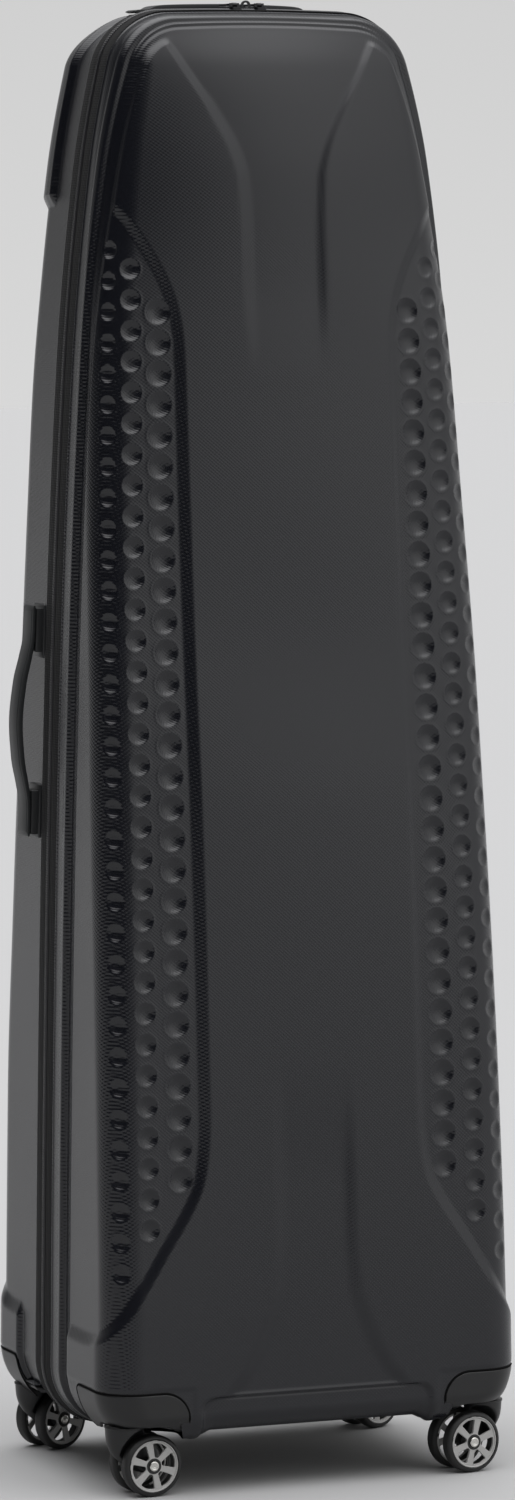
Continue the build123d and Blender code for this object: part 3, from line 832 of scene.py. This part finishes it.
def level_line(shell, z, sign):
    """The outside of one lower corner at a height: where it is and which way it faces, for a
    distance along it from the side's end near the zip."""
    step = float(shell["step"](z))
    half = float(outline_half(z)) - WALL_IN + step
    drop = max(0.0, FOOT_TURN_TOP - z)
    depth = float(shell["edge"](z)) + step
    depth -= FOOT_TURN - math.sqrt(max(FOOT_TURN ** 2 - drop ** 2, 0))
    radius = SIDE_R + step
    near = shell["bracket_end"]
    wall = depth - radius - near
    turn = radius * math.pi / 2
    total = wall + turn + (half - radius - BRACKET_X)

    def spot(share, proud):
        s = share * total
        if s < wall:
            x, d, nx, nd = half, near + s, 1.0, 0.0
        elif s < wall + turn:
            a = (s - wall) / radius
            x, d = half - radius + radius * math.cos(a), depth - radius + radius * math.sin(a)
            nx, nd = math.cos(a), math.sin(a)
        else:
            x, d, nx, nd = half - radius - (s - wall - turn), depth, 0.0, 1.0
        return sign * (x + nx * proud), ZIP_Y + shell["side"] * (d + nd * proud), z

    return spot, total


def tucked(points, shell):
    """Moves points of a disc over a wheel so that they stay inside the corner it closes."""
    for k in range(len(points)):
        half = float(outline_half(points[k, 2])) - 1.2
        depth = float(shell["edge"](points[k, 2])) - 1.0
        side = math.copysign(1, points[k, 0])
        x = abs(points[k, 0])
        d = abs(points[k, 1] - ZIP_Y)
        cx, cd = half - SIDE_R, depth - SIDE_R
        over = math.hypot(max(x - cx, 0), max(d - cd, 0))
        if over > SIDE_R:
            x = cx + max(x - cx, 0) * SIDE_R / over if x > cx else x
            d = cd + max(d - cd, 0) * SIDE_R / over if d > cd else d
            points[k, 0] = side * x
            points[k, 1] = ZIP_Y + shell["side"] * d
    return points


def build_bracket(name, shell):
    """A moulded corner cap with rounded edges, a raised near-black strip round it as painted shade
    in its seam, and a roof over its wheel.
    """
    sign = math.copysign(1, caster_places[name][0])
    _, total = level_line(shell, SEAM_Z, sign)

    def high_at(s):
        """The bracket's upper edge, which rounds off at both ends."""
        far_off = TIP_R - min(total - s, TIP_R)
        zip_off = ZIP_TIP_R - min(s, ZIP_TIP_R)
        round_off = TIP_R - math.sqrt(max(TIP_R ** 2 - far_off ** 2, 0))
        return SEAM_Z - round_off - (ZIP_TIP_R - math.sqrt(max(ZIP_TIP_R ** 2 - zip_off ** 2, 0)))

    def low_at(s):
        """Its lower edge, which drops at both ends."""
        return 64.5 - 8.0 * float(ease(s, total - 26, total - 4)) - 10.0 * float(ease(s, 40, 6))

    def edge(count, fine):
        """Shares across, crowded at both ends, with how far each row turns in."""
        inner = (1 - np.cos(np.linspace(0, math.pi, count))) / 2
        flat = [(t, 0.0) for t in inner[1:-1] if fine < t < 1 - fine]
        start, end = [(0, -3.0), (0, -1.1), (fine, -0.25)], [(1 - fine, -0.25), (1, -1.1), (1, -3.0)]
        return start + flat + end

    points = []
    across, up = edge(64, 0.004), edge(22, 0.012)
    for share, turn_in in across:
        s = share * total
        for rise, rise_in in up:
            z = low_at(s) + rise * (high_at(s) - low_at(s))
            spot, _ = level_line(shell, z, sign)
            points.append(spot(share, min(turn_in, rise_in) + 0.25))
    faces = [list(f) for f in quads(len(across), len(up))]
    centre = caster_places[name]
    rim = WELL_R - 0.2
    section = [(0.5, ROOF_LOW), (rim - 0.4, ROOF_LOW), (rim, ROOF_EDGE), (rim, ROOF_TOP),
               (0.5, ROOF_TOP)]
    roof, roof_faces = lathe_up(section, (centre[0], centre[1], 0))
    roof = tucked(roof, shell)
    node = f"{name}_bracket"
    piece(node, *merged([(points, faces), (roof, roof_faces)]), CORNER, shell["body"],
          "corner_plastic", [node])
    # A raised near-black strip along the bracket's upper edge and ends: its colour is painted shade
    # for the shadow line in the seam.
    trace = []
    steps = np.linspace(0, 1, 120)
    for t in np.linspace(0, 1, 16):
        trace.append((0.0, low_at(0) + t * (high_at(0) - low_at(0))))
    trace += [(t, high_at(t * total)) for t in (1 - np.cos(steps * math.pi)) / 2]
    for t in np.linspace(1, 0, 16):
        trace.append((1.0, low_at(total) + t * (high_at(total) - low_at(total))))
    flat = np.array([(t * total, z) for t, z in trace])
    away = np.gradient(flat, axis=0)
    away = np.stack([-away[:, 1], away[:, 0]], axis=1)
    away /= np.maximum(np.linalg.norm(away, axis=1, keepdims=True), 1e-9)
    ribbon = []
    for (s, z), n in zip(flat, away):
        for reach, proud in ((-0.5, -0.3), (SEAM_W * 0.5, 0.5), (SEAM_W, -0.6)):
            height = float(np.clip(z + n[1] * reach, 50, SEAM_Z + 3))
            spot, _ = level_line(shell, height, sign)
            ribbon.append(spot((s + n[0] * reach) / total, proud))
    piece(f"{name}_seam", ribbon, quads(len(flat), 3), SEAM_SHADE, shell["body"], "corner_plastic")


for corner, shell in CORNERS:
    build_bracket(corner, shell)


def build_well(name, shell):
    """The round wall of one wheel well, where it is inside the case, and the lining over it."""
    centre = caster_places[name]
    rows, cols = 14, 120
    layers = [("well", WELL_R, WELL_TOP, POLYCARBONATE, "polycarbonate"),
              ("well_lining", WELL_R + 1.5, WELL_TOP + 5, LINING, "lining")]
    for part, radius, top, material, slot in layers:
        points, inside = [], []
        for z in np.linspace(WELL_LOW, top, rows):
            for a in round_turn(cols):
                x, y = centre[0] + radius * math.cos(a), centre[1] + radius * math.sin(a)
                points.append((x, y, z))
                half = float(outline_half(z)) - WALL_IN - 2
                depth = (y - ZIP_Y) * shell["side"]
                floor_z = BOTTOM_Z + WALL_IN + shell["floor_fall"] * depth
                corner = math.hypot(max(abs(x) - half + SIDE_R, 0),
                                    max(depth - float(shell["edge"](z)) + SIDE_R + 2, 0))
                inside.append(corner < SIDE_R and z >= floor_z - 1.5)
        faces = [list(f) for f in quads(rows, cols, wrap=True) if all(inside[i] for i in f)]
        parts = [(np.array(points), faces)]
        if part == "well_lining":
            low = top - 1.2
            section = [(0.5, low), (radius, low), (radius, top), (0.5, top)]
            cover, cover_faces = lathe_up(section, (centre[0], centre[1], 0))
            cover[:, 2] -= 2.5 * ease(np.hypot(*(cover[:, :2] - centre[:2]).T), radius - 5, radius)
            cover = tucked(cover, shell)
            parts.append((cover, cover_faces))
        piece(f"{name}_{part}", *merged(parts), material, shell["body"], slot)


for corner, shell in CORNERS:
    build_well(corner, shell)

# ---- casters
WHEEL_R = 27.8
WHEEL_GAP = 13.4
WHEEL_W = 12.6
RIM_R = WHEEL_R * 0.84
FORK_TOP = 64.0


def caster_frame(name):
    """The axle's middle, and the directions along the fork and along the axle."""
    centres = [middle_mm(f"{name}_{which}_tyre") for which in ("inner", "outer")]
    axle = (centres[0] + centres[1]) / 2
    forward = (axle - caster_places[name]) * np.array([1, 1, 0])
    forward /= np.linalg.norm(forward)
    return axle, forward, np.array([-forward[1], forward[0], 0.0])


def on_caster(name, points):
    """Moves points from the axle's own frame to the caster."""
    axle, forward, sideways = caster_frame(name)
    points = np.asarray(points, float)
    up = np.array([0, 0, 1])
    return axle + points[:, :1] * forward + points[:, 1:2] * sideways + points[:, 2:] * up


def tyre_shape():
    """A tyre with rounded shoulders and a slightly crowned tread."""
    low, high = WHEEL_GAP / 2, WHEEL_GAP / 2 + WHEEL_W
    turn = 3.6
    profile = [(RIM_R + 0.05, low + 0.2), (RIM_R + 0.8, low)]
    for start, y, sign in ((0, low, 1), (1, high, -1)):
        steps = range(9) if start == 0 else range(8, -1, -1)
        for k in steps:
            a = math.radians(90 * k / 8)
            radius = WHEEL_R - turn + turn * math.sin(a) - 0.25 * (1 - k / 8)
            profile.append((radius, y + sign * turn * (1 - math.cos(a))))
        if start == 0:
            profile.append((WHEEL_R, (low + high) / 2))
    profile += [(RIM_R + 0.8, high), (RIM_R + 0.05, high - 0.2)]
    return lathe(profile, 96)


def hub_shape():
    """A six-spoke disc with rounded openings, a rim and a barrel behind it.
    Returns the shape and how many of its faces are the disc's."""
    curve_data = bpy.data.curves.new("hub_outline", "CURVE")
    curve_data.dimensions = "2D"
    curve_data.fill_mode = "BOTH"
    thick = 2.6
    curve_data.extrude = thick / 2 - 0.35
    curve_data.bevel_depth = 0.35
    curve_data.bevel_resolution = 3

    def ring(points):
        spline = curve_data.splines.new("POLY")
        spline.points.add(len(points) - 1)
        for spot, (x, y) in zip(spline.points, points):
            spot.co = (x, y, 0, 1)
        spline.use_cyclic_u = True

    ring(circle(RIM_R - 0.45, 96))
    ring(circle(3.6, 24)[::-1])
    inner_r, outer_r = 7.6, RIM_R - 2.5
    inner_half, outer_half = math.radians(14.0), math.radians(21.5)
    corners = [(inner_r, -inner_half), (outer_r, -outer_half), (outer_r * 1.035, 0),
               (outer_r, outer_half), (inner_r, inner_half)]
    for k in range(6):
        middle = math.radians(60 * k + 12)
        flat = np.array([(r * math.cos(middle + a), r * math.sin(middle + a)) for r, a in corners])
        smooth = []
        for i in range(len(flat)):
            before, here, after = flat[i - 1], flat[i], flat[(i + 1) % len(flat)]
            for t in np.linspace(0, 1, 6):
                reach = 2.0 if i != 2 else 3.5
                a = here + (before - here) * min(reach / np.linalg.norm(before - here), 0.45)
                b = here + (after - here) * min(reach / np.linalg.norm(after - here), 0.45)
                smooth.append((1 - t) ** 2 * a + 2 * t * (1 - t) * here + t * t * b)
        ring([tuple(p) for p in smooth][::-1])
    holder = bpy.data.objects.new("hub_outline", curve_data)
    bpy.context.scene.collection.objects.link(holder)
    bpy.context.view_layer.update()
    shown = holder.evaluated_get(bpy.context.evaluated_depsgraph_get())
    mesh = bpy.data.meshes.new_from_object(shown)
    plate = np.array([tuple(v.co) for v in mesh.vertices])
    faces = [list(p.vertices) for p in mesh.polygons]
    bpy.data.objects.remove(holder)
    high = WHEEL_GAP / 2 + WHEEL_W
    disc = np.stack([plate[:, 0], high - 0.9 - thick / 2 + plate[:, 2], plate[:, 1]], axis=1)
    low = WHEEL_GAP / 2
    rim = lathe([(RIM_R - 1.9, low + 0.5), (RIM_R, low + 0.3), (RIM_R, high - 0.5),
                 (RIM_R - 0.35, high - 0.15), (RIM_R - 1.0, high - 0.15), (RIM_R - 1.5, high - 0.8),
                 (RIM_R - 1.9, high - 2.4)], 96)
    barrel = lathe([(3.2, low + 0.2), (6.4, low + 0.2), (6.8, high - 3.4), (7.6, high - 1.2),
                    (7.0, high - 0.85), (3.2, high - 0.85)], 48)
    return merged([(disc, faces), rim, barrel]), len(faces)


def axle_shape():
    """The axle with a domed rivet head outside each wheel."""
    reach = WHEEL_GAP / 2 + WHEEL_W
    head = [(3.0, -0.75), (4.5, -0.7), (4.55, 0.1), (4.2, 0.5), (3.3, 0.75), (2.6, 0.55),
            (2.3, 0.35), (1.5, 0.5), (0.05, 0.55)]
    half = [(r, reach + out) for r, out in head]
    profile = [(r, -y) for r, y in half[::-1]] + [(3.0, 0.0)] + half
    return lathe(profile, 48)


def fork_shape():
    """A round cup that narrows between the wheels down to the axle."""
    drop = FORK_TOP - WHEEL_R
    # distance down from the top, middle along the fork, half length and half width
    levels = [(0.2, -20.6, 14.0, 14.0), (0.25, -20.6, 16.9, 16.9), (1.2, -20.6, 17.4, 17.4),
              (6, -20.5, 17.3, 17.2), (14, -20.0, 17.2, 16.2), (21, -18.3, 17.0, 13.8),
              (27, -15.2, 16.8, 10.6), (32, -11.2, 15.8, 7.6), (36, -7.4, 14.0, 6.4),
              (40, -4.2, 11.2, 6.1), (43, -1.8, 7.8, 5.9), (44.6, -0.6, 3.0, 4.8)][::-1]
    depth = [drop - r[0] for r in levels]
    fits = [curve(list(zip(depth, [r[k] for r in levels]))) for k in (1, 2, 3)]
    brim = depth[-1] - 2
    rows = np.r_[np.linspace(depth[-1], brim, 6), np.linspace(brim, depth[0], 46)[1:]]
    angles = round_turn(72)
    points = []
    for z in rows:
        cx, rx, ry = (float(f(z)) for f in fits)
        for a in angles:
            x, y = cx + rx * math.cos(a), ry * math.sin(a)
            away = math.hypot(x, z) - (WHEEL_R + 1.0)
            limit = WHEEL_GAP / 2 - 0.4 + max(away, 0) * 1.6
            points.append((x, math.copysign(min(abs(y), limit), y), z))
    faces = [list(f) for f in quads(len(rows), len(angles), wrap=True)]
    faces.append(list(range(len(angles))))
    faces.append([(len(rows) - 1) * len(angles) + k for k in range(len(angles))][::-1])
    collar = [(15.0, 0), (17.9, 0), (18.1, 0.5), (18.1, 1.6), (17.6, 1.9), (15.0, 1.9)]
    return merged([(points, faces), lathe_up(collar, (-20.6, 0, drop - 2.6))])


hub, disc_faces = hub_shape()
WHEEL_PARTS = [("tyre", tyre_shape(), RUBBER, "rubber_tyre"), ("hub", hub, HUB, "hub_plastic")]
FORK_PARTS = [("fork", fork_shape(), FORK, "fork_plastic"), ("axle", axle_shape(), STEEL, "steel")]
FLIP = np.array([1, -1, 1])
for name in caster_places:
    body = f"{name}_caster"
    for part, shape, material, slot in FORK_PARTS:
        node = f"{name}_{part}"
        piece(node, on_caster(name, shape[0]), shape[1], material, body, slot, [node])
    for which, flip in (("inner", 1), ("outer", -1)):
        body = f"{name}_{which}_wheel"
        for part, shape, material, slot in WHEEL_PARTS:
            points = shape[0] if flip > 0 else shape[0] * FLIP
            faces = shape[1] if flip > 0 else [f[::-1] for f in shape[1]]
            node = f"{name}_{which}_{part}"
            made = piece(node, on_caster(name, points), faces, material, body, slot, [node])
            # The rim's inner wall and the barrel behind the spokes take the dark tyre rubber:
            # painted shade inside the openings.
            if part == "hub":       # dark behind its spokes
                made.data.materials.append(RUBBER)
                for k in range(disc_faces, len(faces)):
                    radius = np.linalg.norm(points[faces[k]][:, [0, 2]], axis=1).max()
                    dark = radius < RIM_R - 1.85 or radius > RIM_R
                    made.data.polygons[k].material_index = int(dark)

# ---- handles
GRIP_W = 25.0
grip_low, grip_high = box_mm("side_handle_grip")
GRIP_Y = (grip_low[1] + grip_high[1]) / 2
SIDE_Z = (grip_low[2] + grip_high[2]) / 2
LEAN = math.radians(1.75)
GRIP_OUT = 12.3
GRIP_BOW = 11.4
SIDE_WALL = -grip_low[0] - GRIP_OUT - GRIP_BOW


def on_side(points):
    """Moves points made upright at the origin onto the leaning left wall."""
    points = np.asarray(points, float)
    x = points[:, 0] * math.cos(LEAN) + points[:, 2] * math.sin(LEAN)
    z = -points[:, 0] * math.sin(LEAN) + points[:, 2] * math.cos(LEAN)
    return np.stack([x - SIDE_WALL, points[:, 1] + GRIP_Y, z + SIDE_Z], axis=1)


def grip_path(half, ends):
    """A strip's middle line, thinning at its tips. half holds (distance, height, thickness) places
    from the strip's middle to one tip."""
    places = sorted([(-d, h, t) for d, h, t in half[1:]] + half)
    height = curve([(p[0], p[1]) for p in places])
    thick = curve([(p[0], p[2]) for p in places])
    straight = np.linspace(3 - ends, ends - 3, 90)[1:-1]
    along = np.r_[np.linspace(-ends, 3 - ends, 8), straight, np.linspace(ends - 3, ends, 8)]
    tip = np.sqrt(np.clip((ends - np.abs(along)) / 3.0, 0.02, 1))
    return along, height(along) - thick(along) / 2, thick(along) * tip


def build_side_handle():
    """A soft strip that bows out from the wall, on two moulded mounts."""
    half = [(0, GRIP_OUT + GRIP_BOW, 4.5), (34, GRIP_OUT + GRIP_BOW - 2.8, 4.4),
            (58, GRIP_OUT + 3.4, 3.8), (72, GRIP_OUT + 0.7, 3.2), (86, GRIP_OUT, 3.0),
            (104.5, GRIP_OUT, 3.0)]
    along, height, thick = grip_path(half, 104.5)
    section = strip_section(GRIP_W / 2, 0.36)
    points, faces = sweep(np.stack([-height, along, thick], axis=1), section)
    bead = strip_section(GRIP_W / 2 - 2.4, 0.3, 0.55)
    top, top_faces = sweep(np.stack([-height - 0.12 * thick, along * 0.985, thick], axis=1), bead)
    grip = merged([(on_side(points), faces), (on_side(top), top_faces)])
    piece("side_handle_grip", *grip, GRIP, "side_handle", "soft_grip", ["side_handle_grip"])
    parts = []
    narrow, wide = GRIP_W / 2 - 1.2, GRIP_W / 2 + 1.4
    for mount, base in zip(mirrored(62.5, 102.5), mirrored(57.0, 105.5)):
        parts.append(block((-GRIP_OUT + 3.6, -narrow, mount[0]), (6, narrow, mount[1]), 1.3))
        parts.append(block((-2.2, -wide, base[0]), (6, wide, base[1]), 1.2))
    points, faces = merged(parts)
    piece("side_handle_mounts", on_side(points), faces, HANDLE, "case", "handle_plastic",
          ["side_handle_mounts"])


def build_top_handle():
    """A strip with a raised middle and a lower plate at each end, on two low mounts."""
    low, high = box_mm("top_handle_grip")
    y = (low[1] + high[1]) / 2
    top = high[2]
    half = [(0, top, 4.5), (34, top - 0.5, 4.5), (62, top - 1.5, 4.1), (70, top - 2.6, 3.4),
            (76, top - 5.3, 3.2), (83, top - 5.8, 3.0), (90, top - 6.4, 2.6)]
    along, height, thick = grip_path(half, 90.0)
    section = strip_section(GRIP_W / 2, 0.36)
    points, faces = sweep(np.stack([along, height, thick], axis=1), section)
    points[:, 1] += y
    piece("top_handle_grip", points, faces, GRIP, "top_handle", "soft_grip", ["top_handle_grip"])
    reach = GRIP_W / 2 - 1
    parts = [block((near, y - reach, top - 24), (far, y + reach, top - 10.1), 1.2)
             for near, far in mirrored(73.0, 88.0)]
    piece("top_handle_mounts", *merged(parts), HANDLE, "case", "handle_plastic",
          ["top_handle_mounts"])


build_side_handle()
build_top_handle()

# ---- inside
def cushion(outline, y_back, y_front, crown, rings=22):
    """A stuffed form: an outline in X and Z, deep along Y, crowned on its front."""
    outline = np.asarray(outline, float)
    middle = outline.mean(axis=0)
    points, count = [], len(outline)
    depth = y_back - y_front
    for share, pull in ((0.0, 0.985), (0.15, 1.0), (0.85, 1.0), (0.97, 0.985)):
        spot = middle + (outline - middle) * pull
        points += [(x, y_back - depth * share, z) for x, z in spot]
    for r in np.linspace(0.965, 0.02, rings):
        spot = middle + (outline - middle) * r
        puff = crown * (1 - r ** 2.4)
        points += [(x, y_front - puff, z) for x, z in spot]
    rows = 4 + rings
    faces = [list(f) for f in quads(rows, count, wrap=True)]
    faces.append([(rows - 1) * count + k for k in range(count)])
    faces.append(list(range(count))[::-1])
    return np.array(points), faces


def cushion_outline(low, high, radius):
    """Even points round a rectangle with rounded corners, in X and Z."""
    points = rounded_corners(low, high, radius, 10)
    return resample(points + points[:1], 160)[:-1]


def build_inside():
    """The head pad, the packing straps and buckles, and the pocket in the lid."""
    low, high = box_mm("club_head_pad")
    top_half = float(half_width(high[2])) - 15
    outline = cushion_outline((-top_half, low[2]), (top_half, high[2]), 34)
    points, faces = cushion(outline, high[1] - 2, low[1] + 9, 8)
    pad = piece("club_head_pad", points, faces, PAD, "case", "foam", ["club_head_pad"])
    low, high = box_mm("lid_pocket")
    outline = cushion_outline((low[0], low[2]), (high[0], high[2]), 22)
    points, faces = cushion(outline, low[1] + 0.4, high[1] - 3.5, -2.6)
    pocket = piece("lid_pocket", points, faces, LINING, "lid", "lining", ["lid_pocket"])
    near = (low[0] + 22, high[1] - 3.2, high[2] - 40)
    far = (high[0] - 22, high[1] - 0.2, high[2] - 33)
    piece("lid_pocket_zip", *block(near, far, 0.9), ZIP_COIL, "lid", "zip_coil")
    straps, buckles = [], []
    low, high = box_mm("packing_straps")
    half = 19.0
    for z in (low[2] + half, high[2] - half):
        back = ZIP_Y + float(BACK["middle"](z)) - 5.6
        reach = float(half_width(z)) - 46
        for near, far in mirrored(27, reach):
            straps.append(block((near, back - 1.9, z - half), (far, back - 0.2, z + half), 0.6, 2))
        buckles.append(block((-34, back - 11, z - 24), (34, back - 0.6, z + 24), 4.5, 4))
        for near, far in mirrored(9, 27):
            buckles.append(block((near, back - 12.4, z - 15), (far, back - 8, z + 15), 1.4, 3))
    piece("packing_straps", *merged(straps), WEBBING, "case", "webbing", ["packing_straps"])
    piece("strap_buckles", *merged(buckles), BUCKLE, "case", "buckle_plastic", ["strap_buckles"])


build_inside()

# ---- CAD pieces that show as they are
FINISHES = {
    "zip_slider": ZIP_METAL,
    "pull_tab": ZIP_METAL,
    "lock_loop": ZIP_METAL,
    "handle_posts": STEEL,
    "king_pin": STEEL,
    "bracket_screws": STEEL,
}
for node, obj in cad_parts.items():
    for part, material in FINISHES.items():
        if part in node:
            obj.data.materials.clear()
            obj.data.materials.append(material)


# ---- studio
TOP_LIGHT = (3.4, 3.4, 3.45, 1)
# Angle to the left of straight ahead of the case, in degrees, and how bright the wall is there
WALL_LIGHT = [(-180, 0.55), (-170, 0.66), (-140, 0.66), (-100, 0.85), (-72, 0.75), (-48, 1.0),
              (-24, 1.0), (-6, 0.48), (10, 0.12), (28, 0.02), (92, 0.02), (112, 0.07),
              (138, 0.24), (162, 0.42), (180, 0.55)]


def make_world():
    """A plain studio: bright walls to the right and behind, a dark gap ahead and to the left."""
    world = bpy.data.worlds.new("studio")
    bpy.context.scene.world = world
    world.use_nodes = True
    tree = world.node_tree

    def maths(operation, *inputs):
        made = add_node(tree, "ShaderNodeMath", enumerate(inputs), operation=operation)
        return made.outputs["Value"]

    place = add_node(tree, "ShaderNodeTexCoord").outputs["Generated"]
    split = add_node(tree, "ShaderNodeSeparateXYZ", {"Vector": place}).outputs
    left = maths("MULTIPLY", split["X"], -1)
    ahead = maths("MULTIPLY", split["Y"], -1)
    turn = {"Value": maths("ARCTAN2", left, ahead), "From Min": -math.pi, "From Max": math.pi}
    spread = add_node(tree, "ShaderNodeMapRange", turn)
    ramp = add_node(tree, "ShaderNodeValToRGB", {"Fac": spread.outputs["Result"]})
    ramp.color_ramp.interpolation = "EASE"
    for k, (angle, light) in enumerate(WALL_LIGHT):
        at = (angle + 180) / 360
        if k < 2:
            stop = ramp.color_ramp.elements[k]
            stop.position = at
        else:
            stop = ramp.color_ramp.elements.new(at)
        stop.color = (light, light, light, 1)
    height = {"Value": split["Z"], "From Min": 0.60, "From Max": 0.92}
    rise = add_node(tree, "ShaderNodeMapRange", height, interpolation_type="SMOOTHSTEP")
    gain = maths("MULTIPLY_ADD", maths("MULTIPLY", ahead, split["Z"]), 1.3, 1.0)
    walls = {0: ramp.outputs["Color"], "Scale": gain}
    lit = add_node(tree, "ShaderNodeVectorMath", walls, operation="SCALE")
    lights = {"Factor": rise.outputs["Result"], "A": lit.outputs["Vector"], "B": TOP_LIGHT}
    mix = add_node(tree, "ShaderNodeMix", lights, data_type="RGBA")
    tree.links.new(mix.outputs["Result"], tree.nodes["Background"].inputs["Color"])
    tree.nodes["Background"].inputs["Strength"].default_value = 1.0


make_world()
bpy.context.scene.view_settings.view_transform = "Standard"

floor_material, _ = shader("floor", (0.40, 0.40, 0.40), 0.9, specular=0.1)
FLOOR = 30000.0          # half the floor's width
corners = [(x * FLOOR, y * FLOOR, 0) for x, y in ((-1, -1), (1, -1), (1, 1), (-1, 1))]
floor = piece("floor", corners, [(0, 1, 2, 3)], floor_material, smooth=False)
floor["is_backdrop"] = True

camera_data = bpy.data.cameras.new("camera")
camera = bpy.data.objects.new("camera", camera_data)
bpy.context.scene.collection.objects.link(camera)
camera.location = (-2.1817, -5.3623, 1.1335)
camera.rotation_euler = (math.radians(85.22), 0, math.radians(-22.17))
camera_data.lens = 153.67
camera_data.sensor_width = 36
camera_data.clip_end = 100
bpy.context.scene.camera = camera

visual_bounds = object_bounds()
both = [[list(map(float, corner)) for corner in bounds] for bounds in (cad_bounds, visual_bounds)]
